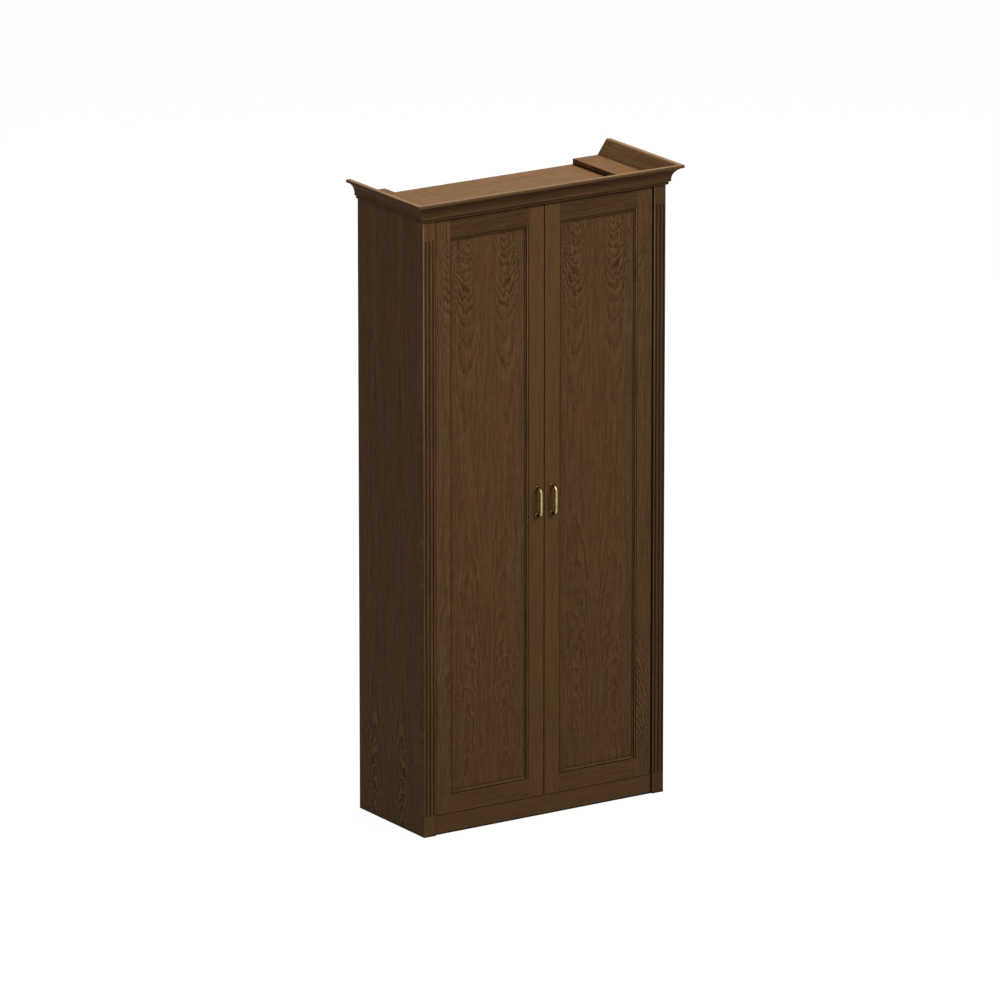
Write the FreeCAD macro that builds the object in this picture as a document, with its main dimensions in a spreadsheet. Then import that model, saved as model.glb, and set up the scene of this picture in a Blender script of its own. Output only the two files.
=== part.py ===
import FreeCAD, Part
import Sketcher
import math
import os

# Two-door office cabinet in dark veneered board: fluted pilasters, framed doors, a plinth,
# shelves and an open-backed crown of cove cornice. Millimetres, +Z up, front towards -Y,
# origin on the floor at the middle of the plan.

SIZES = {
    # Whole cabinet
    "body_width": 922.0,
    "body_depth": 387.0,
    "total_height": 2100.0,
    "cornice_height": 67.0,
    "cornice_overhang": 43.0,
    # Carcass boards
    "board_thickness": 18.0,
    "shelf_thickness": 22.0,
    "shelf_setback": 25.0,
    "shelf_play": 1.0,
    "back_thickness": 4.0,
    "back_inset": 12.0,
    "groove_depth": 8.0,
    "groove_play": 0.2,
    # Pilasters and plinth
    "pilaster_width": 44.5,
    "pilaster_rounding": 2.5,
    "flute_pitch": 13.7,
    "flute_radius": 3.0,
    "flute_start": 67.7,
    "flute_margin": 60.3,
    "plinth_height": 63.5,
    "plinth_recess": 6.0,
    # Doors
    "door_thickness": 20.0,
    "door_recess": 5.0,
    "door_side_gap": 2.5,
    "door_middle_gap": 3.0,
    "door_foot_gap": 3.0,
    "door_head_gap": 3.0,
    "door_rounding": 3.0,
    "arris_radius": 1.0,
    "stile_width": 58.0,
    "rail_height": 62.0,
    "panel_thickness": 7.0,
    "panel_recess": 9.0,
    "tongue_depth": 8.0,
    # Panel moulding
    "moulding_width": 10.0,
    "moulding_drop": 1.2,
    "quirk_width": 1.4,
    "quirk_height": 4.4,
    "bead_radius": 2.0,
    "bead_foot": 4.6,
    "bead_relief": 0.2,
    "moulding_lip": 1.4,
    # Cornice section
    "cornice_foot": 2.5,
    "ovolo_radius": 4.0,
    "ovolo_height": 11.5,
    "neck_overhang": 12.0,
    "neck_height": 17.0,
    "cove_radius": 43.0,
    "rim_thickness": 9.5,
    "rim_width": 15.0,
    "cornice_seat": 6.5,
    "ledger_thickness": 18.0,
    "ledger_width": 102.0,
    # Bow handles
    "handle_spacing": 90.0,
    "handle_lift": 5.0,
    "handle_edge": 27.0,
    "handle_reach": 26.0,
    "grip_length": 57.0,
    "grip_radius": 4.2,
    "grip_swell": 0.4,
    "ring_radius": 5.4,
    "ring_width": 3.0,
    "neck_radius": 5.4,
    "handle_foot_radius": 7.0,
    "handle_foot_thickness": 3.0,
    "handle_screw_radius": 2.0,
    "handle_screw_grip": 10.0,
    "handle_screw_head_radius": 4.0,
    "handle_screw_head": 2.6,
    # Concealed hinges
    "hinge_end": 100.0,
    "pin_edge": 20.0,
    "pin_depth": 8.8,
    "pin_radius": 1.75,
    "pin_play": 0.04,
    "pin_seat": 0.02,
    "pin_length": 31.0,
    "cup_edge": 22.5,
    "cup_radius": 17.5,
    "cup_depth": 13.4,
    "cup_wall": 0.8,
    "cup_rounding": 2.0,
    "cup_play": 0.1,
    "flange_thickness": 1.2,
    "flange_lip": 1.0,
    "flange_reach": 31.0,
    "flange_half_width": 8.5,
    "cup_screw_offset": 25.0,
    "arm_thickness": 3.0,
    "arm_width": 13.0,
    "arm_eye_radius": 3.1,
    "arm_neck_out": 15.3,
    "arm_neck_back": 26.0,
    "arm_bend": 6.0,
    "arm_length": 84.0,
    "plate_start": 38.0,
    "plate_length": 40.0,
    "plate_half_height": 23.0,
    "plate_thickness": 2.6,
    "plate_rise": 3.4,
    "plate_rounding": 6.0,
    "plate_screw_offset": 16.0,
    "hinge_screw_radius": 1.8,
    "hinge_screw_head_radius": 3.6,
    "hinge_screw_head": 1.8,
    "hinge_screw_length": 13.0,
    "hinge_screw_play": 0.1,
    "hinge_block_height": 80.0,
    "hinge_block_depth": 90.0,
    "swing_clearance": 1.2,
    "bumper_gap": 2.0,
    "bumper_play": 0.3,
    "bumper_radius": 5.0,
    "bumper_inset": 60.0,
    # Shelf supports
    "support_radius": 2.5,
    "support_play": 0.05,
    "support_depth": 10.0,
    "support_reach": 9.0,
    "support_half_width": 5.0,
    "support_thickness": 3.0,
    "support_front": 45.0,
    "support_rear": 50.0,
    "support_step": 32.0,
    # Cam fittings between boards
    "cam_radius": 7.5,
    "cam_depth": 12.5,
    "cam_play": 0.1,
    "cam_setback": 34.0,
    "cam_inset": 70.0,
    "bolt_radius": 3.0,
    "bolt_tail": 11.0,
    # Levelling feet
    "leveller_inset": 60.0,
    "leveller_pad_radius": 15.0,
    "leveller_pad_height": 6.0,
    "leveller_boss_radius": 8.0,
    "leveller_stem_radius": 4.0,
    "leveller_stem_length": 26.0,
    "leveller_play": 0.15,
    "socket_half_width": 20.0,
    "socket_height": 24.0,
    # One overrun for every cut that leaves a face
    "overrun": 1.0,
}

HINGE_COUNT = 4
SHELF_COUNT = 4
FIXED_SHELF_NUMBER = 2

doc = FreeCAD.newDocument("OfficeCabinet")
sheet = doc.addObject("Spreadsheet::Sheet", "Sizes")


class Size:
    """A length as a number, and as the expression on the sheet that gives it."""

    def __init__(self, number, text):
        self.number = number
        self.text = text

    def __add__(self, other):
        other = as_size(other)
        return Size(self.number + other.number, f"({self.text} + {other.text})")

    def __sub__(self, other):
        other = as_size(other)
        return Size(self.number - other.number, f"({self.text} - {other.text})")

    def __rsub__(self, other):
        return as_size(other) - self

    def __mul__(self, share):
        return Size(self.number * share, f"({self.text} * {share})")

    def __truediv__(self, share):
        return Size(self.number / share, f"({self.text} / {share})")

    def __neg__(self):
        return Size(-self.number, f"(0 - {self.text})")

    __radd__ = __add__
    __rmul__ = __mul__


def as_size(item):
    return item if isinstance(item, Size) else Size(float(item), str(item))


def diagonal(side_a, side_b):
    """The long side of a right triangle, as a size."""
    number = math.hypot(side_a.number, side_b.number)
    return Size(number, f"sqrt({side_a.text} * {side_a.text} + {side_b.text} * {side_b.text})")


def opposite(slant, side):
    """The other short side of a right triangle, as a size."""
    number = math.sqrt(slant.number ** 2 - side.number ** 2)
    return Size(number, f"sqrt({slant.text} * {slant.text} - {side.text} * {side.text})")


class Sheet:
    """Every size on the sheet, by its name."""


def fill_sheet():
    sizes = Sheet()
    for row, (name, number) in enumerate(SIZES.items(), start=1):
        sheet.set(f"A{row}", name)
        sheet.set(f"B{row}", str(number))
        sheet.setAlias(f"B{row}", name)
        setattr(sizes, name, Size(number, f"Sizes.{name}"))
    doc.recompute()
    return sizes


S = fill_sheet()

# Planes of the cabinet
HALF_WIDTH = S.body_width / 2
SIDE_INNER = HALF_WIDTH - S.board_thickness
REAR = (S.body_depth + S.cornice_overhang) / 2
PILASTER_FACE = REAR - S.body_depth
DOOR_FACE = PILASTER_FACE + S.door_recess
DOOR_BACK = DOOR_FACE + S.door_thickness
FRONT = DOOR_BACK + S.bumper_gap
BODY_TOP = S.total_height - S.cornice_height
CEILING = BODY_TOP - S.board_thickness
FLOOR = S.plinth_height
OPENING_HALF = HALF_WIDTH - S.pilaster_width
BACK_FRONT = REAR - S.back_inset - S.back_thickness
BACK_REAR = REAR - S.back_inset

# Doors, measured from the hinge edge inwards and from the face backwards
HINGE_EDGE = OPENING_HALF - S.door_side_gap
DOOR_WIDTH = HINGE_EDGE - S.door_middle_gap / 2
DOOR_FOOT = S.plinth_height + S.door_foot_gap
DOOR_HEAD = BODY_TOP - S.door_head_gap
DOOR_HEIGHT = DOOR_HEAD - DOOR_FOOT
HANDLE_LEVEL = (DOOR_FOOT + DOOR_HEAD) / 2 + S.handle_lift
PANEL_FACE = DOOR_FACE + S.panel_recess
PANEL_REAR = PANEL_FACE + S.panel_thickness
GROOVE_FRONT = PANEL_FACE - S.groove_play
GROOVE_REAR = PANEL_REAR + S.groove_play
GROOVE_FLOOR = S.tongue_depth + S.groove_play

# Hinge pins: one upright line to each door
PIN_X = HINGE_EDGE - S.pin_edge
PIN_Y = DOOR_BACK - S.pin_depth
HINGE_FOOT = DOOR_FOOT + S.hinge_end
HINGE_RUN = DOOR_HEIGHT - S.hinge_end * 2
PIN_TO_BLOCK = S.pin_edge + S.door_side_gap
SWEEP = diagonal(S.pin_edge, S.pin_depth) + S.swing_clearance

# Shelves
SHELF_PITCH = (CEILING - FLOOR + S.shelf_thickness) / (SHELF_COUNT + 1)
SHELF_FRONT = FRONT + S.shelf_setback
SUPPORT_COLUMNS = (SHELF_FRONT + S.support_front, BACK_FRONT - S.support_rear)
CAM_ROWS = (FRONT + S.cam_inset, REAR - S.cam_inset)


def shelf_underside(number):
    return FLOOR + SHELF_PITCH * number - S.shelf_thickness


def hinge_level(number):
    return HINGE_FOOT + HINGE_RUN * number / (HINGE_COUNT - 1)


def bind(thing, name, size):
    """Ties a property to the sheet."""
    thing.setExpression(name, as_size(size).text)


def place(thing, x=0, y=0, z=0):
    for axis, size in zip("xyz", (x, y, z)):
        bind(thing, f"Placement.Base.{axis}", size)


def body(label, x=0, y=0, z=0):
    owner = doc.addObject("PartDesign::Body", label)
    place(owner, x, y, z)
    return owner


def origin_part(owner, role):
    return next(item for item in owner.Origin.OriginFeatures if item.Role == role)


def sketch_on(owner, role, x=0, y=0, z=0):
    """A sketch on an origin plane of its body, moved by x and y in it and by z off it."""
    sketch = owner.newObject("Sketcher::SketchObject", "Outline")
    sketch.AttachmentSupport = (origin_part(owner, role), [""])
    sketch.MapMode = "FlatFace"
    for axis, size in zip("xyz", (x, y, z)):
        bind(sketch, f"AttachmentOffset.Base.{axis}", size)
    return sketch


def pin_point(sketch, edge, end, x, y):
    """Holds one point of a sketch at x and y."""
    for kind, on_axis, size in (("DistanceX", -2, as_size(x)), ("DistanceY", -1, as_size(y))):
        if size.number == 0:
            sketch.addConstraint(Sketcher.Constraint("PointOnObject", edge, end, on_axis))
        else:
            held = Sketcher.Constraint(kind, -1, 1, edge, end, size.number)
            index = sketch.addConstraint(held)
            sketch.setExpression(f"Constraints[{index}]", size.text)


def arc_edge(start, end, radius, turn):
    """The short arc from start to end that turns left (+1) or right (-1)."""
    chord = end - start
    half = chord.Length / 2
    rise = math.sqrt(max(radius ** 2 - half ** 2, 0.0))
    across = FreeCAD.Vector(-chord.y, chord.x, 0).normalize()
    centre = (start + end) / 2 + across * (rise * turn)
    first, last = (start, end) if turn > 0 else (end, start)
    angles = [math.atan2(point.y - centre.y, point.x - centre.x) for point in (first, last)]
    if angles[1] < angles[0]:
        angles[1] += 2 * math.pi
    circle = Part.Circle(centre, FreeCAD.Vector(0, 0, 1), radius)
    return Part.ArcOfCircle(circle, angles[0], angles[1])


def outline(sketch, corners, closed=True):
    """Draws edges from corner to corner. A corner is (x, y), or (x, y, radius, turn)
    where the edge that leaves it is an arc that turns left (+1) or right (-1)."""
    points = []
    for corner in corners:
        points.append(FreeCAD.Vector(as_size(corner[0]).number, as_size(corner[1]).number, 0))
    edges = len(corners) if closed else len(corners) - 1
    ends = []
    for index in range(edges):
        corner = corners[index]
        start = points[index]
        end = points[(index + 1) % len(points)]
        if len(corner) == 2:
            edge = sketch.addGeometry(Part.LineSegment(start, end), False)
            ends.append((edge, 1, 2))
        else:
            radius = as_size(corner[2])
            edge = sketch.addGeometry(arc_edge(start, end, radius.number, corner[3]), False)
            held = sketch.addConstraint(Sketcher.Constraint("Radius", edge, radius.number))
            sketch.setExpression(f"Constraints[{held}]", radius.text)
            ends.append((edge, 1, 2) if corner[3] > 0 else (edge, 2, 1))
    for index, (edge, start_end, far_end) in enumerate(ends):
        pin_point(sketch, edge, start_end, corners[index][0], corners[index][1])
        if closed or index + 1 < len(ends):
            after = ends[(index + 1) % len(ends)]
            sketch.addConstraint(Sketcher.Constraint("Coincident", edge, far_end, after[0], after[1]))
        else:
            pin_point(sketch, edge, far_end, corners[-1][0], corners[-1][1])


def rectangle(sketch, x0, y0, x1, y1):
    outline(sketch, [(x0, y0), (x1, y0), (x1, y1), (x0, y1)])


def circle(sketch, x, y, radius):
    centre = FreeCAD.Vector(as_size(x).number, as_size(y).number, 0)
    round_edge = Part.Circle(centre, FreeCAD.Vector(0, 0, 1), radius.number)
    edge = sketch.addGeometry(round_edge, False)
    held = sketch.addConstraint(Sketcher.Constraint("Radius", edge, radius.number))
    sketch.setExpression(f"Constraints[{held}]", radius.text)
    pin_point(sketch, edge, 3, x, y)


def feature(owner, kind, sketch, **settings):
    made = owner.newObject(f"PartDesign::{kind}", kind)
    made.Profile = sketch
    for name, value in settings.items():
        setattr(made, name, value)
    return made


def pad(owner, sketch, length, reverse=False):
    made = feature(owner, "Pad", sketch, Reversed=reverse)
    bind(made, "Length", length)
    return made


def pocket(owner, sketch, depth, reverse=False):
    """Cuts behind the sketch, or in front of it when reversed."""
    made = feature(owner, "Pocket", sketch, Reversed=reverse)
    bind(made, "Length", depth)
    return made


def turned(owner, kind, sketch, axis):
    """A Revolution, or a Groove, right round an axis of its sketch."""
    made = feature(owner, kind, sketch)
    made.ReferenceAxis = (sketch, [axis])
    made.Angle = 360
    return made


def repeat(owner, role, extent, count):
    """Copies the whole piece along an axis of its body."""
    doc.recompute()
    row = owner.newObject("PartDesign::LinearPattern", "Row")
    row.TransformMode = "Whole shape"
    row.Direction = (origin_part(owner, role), [""])
    bind(row, "Length", extent)
    row.Occurrences = count
    owner.Tip = row


def twin(owner, role):
    """Copies the whole piece to the other side of a plane of its body."""
    doc.recompute()
    other = owner.newObject("PartDesign::Mirrored", "Twin")
    other.TransformMode = "Whole shape"
    other.MirrorPlane = (origin_part(owner, role), [""])
    owner.Tip = other


def board(label, x, y, z, width, depth, height):
    """A plain board from its low corner."""
    made = doc.addObject("Part::Box", label)
    bind(made, "Length", width)
    bind(made, "Width", depth)
    bind(made, "Height", height)
    place(made, x, y, z)
    return made


def side_name(side):
    return "left" if side < 0 else "right"


def door_x(side, inwards):
    """Where a point of a door lies across the cabinet, from its hinge edge inwards."""
    return (HINGE_EDGE - inwards) * side


# Carcass

def side_panel(side):
    """Side board with a groove for the back, holes for shelf supports and for bolts."""
    owner = body(f"{side_name(side)}_side_panel")
    groove_floor = SIDE_INNER + S.groove_depth + S.groove_play
    plan = sketch_on(owner, "XY_Plane")
    outline(plan, [
        (HALF_WIDTH * side, FRONT),
        (HALF_WIDTH * side, REAR),
        (SIDE_INNER * side, REAR),
        (SIDE_INNER * side, BACK_REAR + S.groove_play),
        (groove_floor * side, BACK_REAR + S.groove_play),
        (groove_floor * side, BACK_FRONT - S.groove_play),
        (SIDE_INNER * side, BACK_FRONT - S.groove_play),
        (SIDE_INNER * side, FRONT),
    ])
    pad(owner, plan, BODY_TOP)
    inside = sketch_on(owner, "YZ_Plane", z=SIDE_INNER * side)
    for number in range(1, SHELF_COUNT + 1):
        if number == FIXED_SHELF_NUMBER:
            continue
        level = shelf_underside(number) - S.support_thickness / 2
        for column in SUPPORT_COLUMNS:
            for step in (-1, 0, 1):
                circle(inside, column, level + S.support_step * step, S.support_radius + S.support_play)
    pocket(owner, inside, S.support_depth + S.support_play, reverse=side > 0)
    bolts = sketch_on(owner, "YZ_Plane", z=SIDE_INNER * side)
    for underside, thickness in connected_levels():
        for row in CAM_ROWS:
            circle(bolts, row, underside + thickness / 2, S.bolt_radius + S.cam_play)
    pocket(owner, bolts, S.bolt_tail + S.cam_play, reverse=side > 0)


def connected_levels():
    """Underside and thickness of each board that is drawn to the sides by cams."""
    return (
        (FLOOR - S.board_thickness, S.board_thickness),
        (shelf_underside(FIXED_SHELF_NUMBER), S.shelf_thickness),
        (CEILING, S.board_thickness),
    )


def cam_bores(owner, underside, thickness):
    """Blind bores for the cams from below, and bores for their bolts from both ends."""
    below = sketch_on(owner, "XY_Plane", z=underside)
    ends = sketch_on(owner, "YZ_Plane", z=SIDE_INNER)
    for row in CAM_ROWS:
        for side in (-1, 1):
            circle(below, (SIDE_INNER - S.cam_setback) * side, row, S.cam_radius + S.cam_play)
        circle(ends, row, underside + thickness / 2, S.bolt_radius + S.cam_play)
    pocket(owner, below, S.cam_depth + S.cam_play, reverse=True)
    pocket(owner, ends, S.cam_setback)
    far_ends = sketch_on(owner, "YZ_Plane", z=-SIDE_INNER)
    for row in CAM_ROWS:
        circle(far_ends, row, underside + thickness / 2, S.bolt_radius + S.cam_play)
    pocket(owner, far_ends, S.cam_setback, reverse=True)


def top_panel():
    """Top board, its front corners cut back clear of the swinging door edges."""
    owner = body("top_panel")
    notch_x = PIN_X - SWEEP
    notch_y = PIN_Y + SWEEP
    plan = sketch_on(owner, "XY_Plane", z=CEILING)
    outline(plan, [
        (-notch_x, FRONT), (notch_x, FRONT), (notch_x, notch_y), (SIDE_INNER, notch_y),
        (SIDE_INNER, REAR), (-SIDE_INNER, REAR), (-SIDE_INNER, notch_y), (-notch_x, notch_y),
    ])
    pad(owner, plan, S.board_thickness)
    groove = sketch_on(owner, "XY_Plane", z=CEILING)
    rectangle(groove, -SIDE_INNER - S.overrun, BACK_FRONT - S.groove_play,
              SIDE_INNER + S.overrun, BACK_REAR + S.groove_play)
    pocket(owner, groove, S.groove_depth + S.groove_play, reverse=True)
    cam_bores(owner, CEILING, S.board_thickness)


def bottom_panel():
    owner = body("bottom_panel")
    underside = FLOOR - S.board_thickness
    plan = sketch_on(owner, "XY_Plane", z=underside)
    rectangle(plan, -SIDE_INNER, FRONT, SIDE_INNER, REAR)
    pad(owner, plan, S.board_thickness)
    groove = sketch_on(owner, "XY_Plane", z=FLOOR)
    rectangle(groove, -SIDE_INNER - S.overrun, BACK_FRONT - S.groove_play,
              SIDE_INNER + S.overrun, BACK_REAR + S.groove_play)
    pocket(owner, groove, S.groove_depth + S.groove_play)
    cam_bores(owner, underside, S.board_thickness)


def back_panel():
    reach = SIDE_INNER + S.groove_depth
    foot = FLOOR - S.groove_depth
    board("back_panel", -reach, BACK_FRONT, foot,
          reach * 2, S.back_thickness, CEILING + S.groove_depth - foot)


def shelves():
    for number in range(1, SHELF_COUNT + 1):
        underside = shelf_underside(number)
        if number == FIXED_SHELF_NUMBER:
            owner = body("fixed_shelf")
            plan = sketch_on(owner, "XY_Plane", z=underside)
            rectangle(plan, -SIDE_INNER, SHELF_FRONT, SIDE_INNER, BACK_FRONT)
            pad(owner, plan, S.shelf_thickness)
            cam_bores(owner, underside, S.shelf_thickness)
        else:
            reach = SIDE_INNER - S.shelf_play
            board(f"shelf_{number}", -reach, SHELF_FRONT, underside,
                  reach * 2, BACK_FRONT - S.shelf_play - SHELF_FRONT, S.shelf_thickness)


def shelf_support(side, column, number):
    """One spoon support: a flat block under the shelf on a stem in the side board."""
    underside = shelf_underside(number)
    block = doc.addObject("Part::Box", "SupportBlock")
    bind(block, "Length", S.support_reach)
    bind(block, "Width", S.support_half_width * 2)
    bind(block, "Height", S.support_thickness)
    low_x = SIDE_INNER - S.support_reach if side > 0 else -SIDE_INNER
    place(block, low_x, column - S.support_half_width, underside - S.support_thickness)
    stem = doc.addObject("Part::Cylinder", "SupportStem")
    bind(stem, "Radius", S.support_radius)
    bind(stem, "Height", S.support_depth)
    stem.Placement = FreeCAD.Placement(
        FreeCAD.Vector(), FreeCAD.Rotation(FreeCAD.Vector(0, 1, 0), 90))
    stem_x = SIDE_INNER if side > 0 else -SIDE_INNER - S.support_depth
    place(stem, stem_x, column, underside - S.support_thickness / 2)
    whole = doc.addObject("Part::MultiFuse", "Support")
    whole.Shapes = [block, stem]
    return whole


def shelf_supports():
    group = doc.addObject("Part::Compound", "shelf_supports")
    members = []
    for number in range(1, SHELF_COUNT + 1):
        if number != FIXED_SHELF_NUMBER:
            for side in (-1, 1):
                for column in SUPPORT_COLUMNS:
                    members.append(shelf_support(side, column, number))
    group.Links = members


def pilaster(side):
    """Face strip with a rounded outer arris and three stopped round flutes."""
    owner = body(f"{side_name(side)}_pilaster")
    turn = side
    plan = sketch_on(owner, "XY_Plane")
    outline(plan, [
        (OPENING_HALF * side, PILASTER_FACE),
        ((HALF_WIDTH - S.pilaster_rounding) * side, PILASTER_FACE, S.pilaster_rounding, turn),
        (HALF_WIDTH * side, PILASTER_FACE + S.pilaster_rounding),
        (HALF_WIDTH * side, FRONT),
        (OPENING_HALF * side, FRONT),
    ])
    pad(owner, plan, BODY_TOP)
    first = OPENING_HALF + S.pilaster_width / 2 - S.flute_pitch
    last = first + S.flute_pitch * 2
    start = S.flute_start
    end = BODY_TOP - S.flute_margin
    across = (first if side > 0 else -last)
    flute = sketch_on(owner, "XZ_Plane", x=across, z=-PILASTER_FACE)
    outline(flute, [
        (0, start, S.flute_radius, 1),
        (S.flute_radius, start + S.flute_radius),
        (S.flute_radius, end - S.flute_radius, S.flute_radius, 1),
        (0, end),
    ])
    cut = turned(owner, "Groove", flute, "V_Axis")
    row = owner.newObject("PartDesign::LinearPattern", "Flutes")
    row.Originals = [cut]
    row.Direction = (origin_part(owner, "X_Axis"), [""])
    bind(row, "Length", S.flute_pitch * 2)
    row.Occurrences = 3
    owner.Tip = row


def plinth():
    board("plinth_board", -OPENING_HALF, PILASTER_FACE + S.plinth_recess, 0,
          OPENING_HALF * 2, FRONT - PILASTER_FACE - S.plinth_recess, S.plinth_height)
    under = FLOOR - S.board_thickness
    rail_front = BACK_REAR - S.board_thickness
    board("plinth_rear_rail", -SIDE_INNER, rail_front, 0,
          SIDE_INNER * 2, S.board_thickness, under)
    board("plinth_cross_rail", -S.board_thickness / 2, FRONT, 0,
          S.board_thickness, rail_front - FRONT, under)


def cams_and_bolts():
    """Cams that lie in the undersides, and the bolts that they draw from the sides."""
    cams = doc.addObject("Part::Compound", "cam_fittings")
    bolts = doc.addObject("Part::Compound", "connecting_bolts")
    cam_list = []
    bolt_list = []
    bolt_length = S.bolt_tail + S.cam_setback - S.cam_radius - S.cam_play
    for underside, thickness in connected_levels():
        for row in CAM_ROWS:
            for side in (-1, 1):
                cam = doc.addObject("Part::Cylinder", "Cam")
                bind(cam, "Radius", S.cam_radius)
                bind(cam, "Height", S.cam_depth)
                place(cam, (SIDE_INNER - S.cam_setback) * side, row, underside)
                cam_list.append(cam)
                bolt = doc.addObject("Part::Cylinder", "Bolt")
                bind(bolt, "Radius", S.bolt_radius)
                bind(bolt, "Height", bolt_length)
                bolt.Placement = FreeCAD.Placement(
                    FreeCAD.Vector(), FreeCAD.Rotation(FreeCAD.Vector(0, 1, 0), 90))
                outer = SIDE_INNER + S.bolt_tail
                start = outer - bolt_length if side > 0 else -outer
                place(bolt, start, row, underside + thickness / 2)
                bolt_list.append(bolt)
    cams.Links = cam_list
    bolts.Links = bolt_list


def levelling_feet():
    """Four screw feet in sockets under the bottom board."""
    inset_x = SIDE_INNER - S.leveller_inset
    front_y = FRONT + S.leveller_inset
    rear_y = REAR - S.leveller_inset
    under = FLOOR - S.board_thickness
    sockets = body("leveller_sockets", z=under - S.socket_height)
    plan = sketch_on(sockets, "XY_Plane", x=inset_x, y=front_y)
    rectangle(plan, -S.socket_half_width, -S.socket_half_width,
              S.socket_half_width, S.socket_half_width)
    pad(sockets, plan, S.socket_height)
    bore = sketch_on(sockets, "XY_Plane", x=inset_x, y=front_y)
    circle(bore, 0, 0, S.leveller_stem_radius + S.leveller_play)
    pocket(sockets, bore, S.socket_height, reverse=True)
    repeat(sockets, "Y_Axis", rear_y - front_y, 2)
    twin(sockets, "YZ_Plane")
    feet = body("levelling_feet")
    section = sketch_on(feet, "XZ_Plane", x=inset_x, z=-front_y)
    pad_top = S.leveller_pad_height
    outline(section, [
        (0, 0),
        (S.leveller_pad_radius, 0),
        (S.leveller_pad_radius, pad_top / 2),
        (S.leveller_boss_radius, pad_top),
        (S.leveller_stem_radius, pad_top),
        (S.leveller_stem_radius, pad_top + S.leveller_stem_length),
        (0, pad_top + S.leveller_stem_length),
    ])
    turned(feet, "Revolution", section, "V_Axis")
    repeat(feet, "Y_Axis", rear_y - front_y, 2)
    twin(feet, "YZ_Plane")


def door_bumpers():
    owner = body("door_bumpers", y=FRONT, z=CEILING + S.board_thickness / 2)
    dot = sketch_on(owner, "XZ_Plane", x=S.bumper_inset)
    circle(dot, 0, 0, S.bumper_radius)
    pad(owner, dot, S.bumper_gap - S.bumper_play)
    repeat(owner, "X_Axis", PIN_X - SWEEP - S.bumper_inset * 2, 2)
    twin(owner, "YZ_Plane")


# Crown

def cornice_section():
    """Corners of the cornice as (out from the body, up from its foot), with its arcs."""
    rim_foot = S.cornice_height - S.rim_thickness
    cove_rise = rim_foot - S.neck_height
    cove_end = S.neck_overhang + S.cove_radius - opposite(S.cove_radius, cove_rise)
    ledge = S.cornice_foot + S.ovolo_radius
    return [
        (0, 0, None, 0),
        (S.cornice_foot, 0, S.ovolo_radius, 1),
        (ledge, S.ovolo_radius, None, 0),
        (ledge, S.ovolo_height, None, 0),
        (S.neck_overhang, S.ovolo_height, None, 0),
        (S.neck_overhang, S.neck_height, S.cove_radius, -1),
        (cove_end, rim_foot, None, 0),
        (S.cornice_overhang, rim_foot, None, 0),
        (S.cornice_overhang, S.cornice_height, None, 0),
        (S.cornice_overhang - S.rim_width, S.cornice_height, None, 0),
        (-S.cornice_seat, S.ledger_thickness, None, 0),
        (0, S.ledger_thickness, None, 0),
    ]


def draw_cornice(sketch, side):
    """The section with its outside towards +x (side 1) or -x (side -1) of the sketch."""
    corners = []
    for out, up, radius, turn in cornice_section():
        corner = (as_size(out) * side, up)
        corners.append(corner if radius is None else corner + (radius, turn * side))
    outline(sketch, corners)


def mitre(owner, side, keep_side):
    """Cuts the corner at one front end along 45 degrees. The side lengths lose the wedge
    in front of the mitre, and the front length loses the wedge beyond it."""
    inner = S.cornice_seat + S.overrun
    outer = S.cornice_overhang + S.overrun
    plan = sketch_on(owner, "XY_Plane", z=-S.overrun)
    near = ((HALF_WIDTH - inner) * side, PILASTER_FACE + inner)
    far = ((HALF_WIDTH + outer) * side, PILASTER_FACE - outer)
    third = (near[0], far[1]) if keep_side else (far[0], near[1])
    outline(plan, [near, far, third])
    pocket(owner, plan, S.cornice_height + S.overrun * 2, reverse=True)


def cornice():
    front = body("cornice_front", z=BODY_TOP)
    reach = HALF_WIDTH + S.cornice_overhang
    section = sketch_on(front, "YZ_Plane", x=PILASTER_FACE, z=-reach)
    draw_cornice(section, -1)
    pad(front, section, reach * 2)
    for side in (-1, 1):
        mitre(front, side, keep_side=False)
    for side in (-1, 1):
        length = body(f"cornice_{side_name(side)}", z=BODY_TOP)
        section = sketch_on(length, "XZ_Plane", x=HALF_WIDTH * side, z=-REAR)
        draw_cornice(section, side)
        pad(length, section, S.body_depth + S.cornice_overhang)
        mitre(length, side, keep_side=True)


def ledgers():
    """Flat boards that carry the cornice round three sides of the top."""
    front_rear = PILASTER_FACE + S.ledger_width
    board("ledger_front", -HALF_WIDTH, PILASTER_FACE, BODY_TOP,
          S.body_width, S.ledger_width, S.ledger_thickness)
    for side in (-1, 1):
        low_x = HALF_WIDTH - S.ledger_width if side > 0 else -HALF_WIDTH
        board(f"ledger_{side_name(side)}", low_x, front_rear, BODY_TOP,
              S.ledger_width, REAR - front_rear, S.ledger_thickness)


# Doors

def stile_corners(side, edge, inner, front_rounding):
    """Plan of a stile from its free edge to the edge that is grooved for the panel."""
    grow = 1 if edge.number < inner.number else -1
    turn = side * grow
    return [
        (door_x(side, edge), DOOR_FACE + front_rounding, front_rounding, -turn),
        (door_x(side, edge + front_rounding * grow), DOOR_FACE),
        (door_x(side, inner - S.arris_radius * grow), DOOR_FACE, S.arris_radius, -turn),
        (door_x(side, inner), DOOR_FACE + S.arris_radius),
        (door_x(side, inner), GROOVE_FRONT),
        (door_x(side, inner - GROOVE_FLOOR * grow), GROOVE_FRONT),
        (door_x(side, inner - GROOVE_FLOOR * grow), GROOVE_REAR),
        (door_x(side, inner), GROOVE_REAR),
        (door_x(side, inner), DOOR_BACK),
        (door_x(side, edge), DOOR_BACK),
    ]


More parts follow.
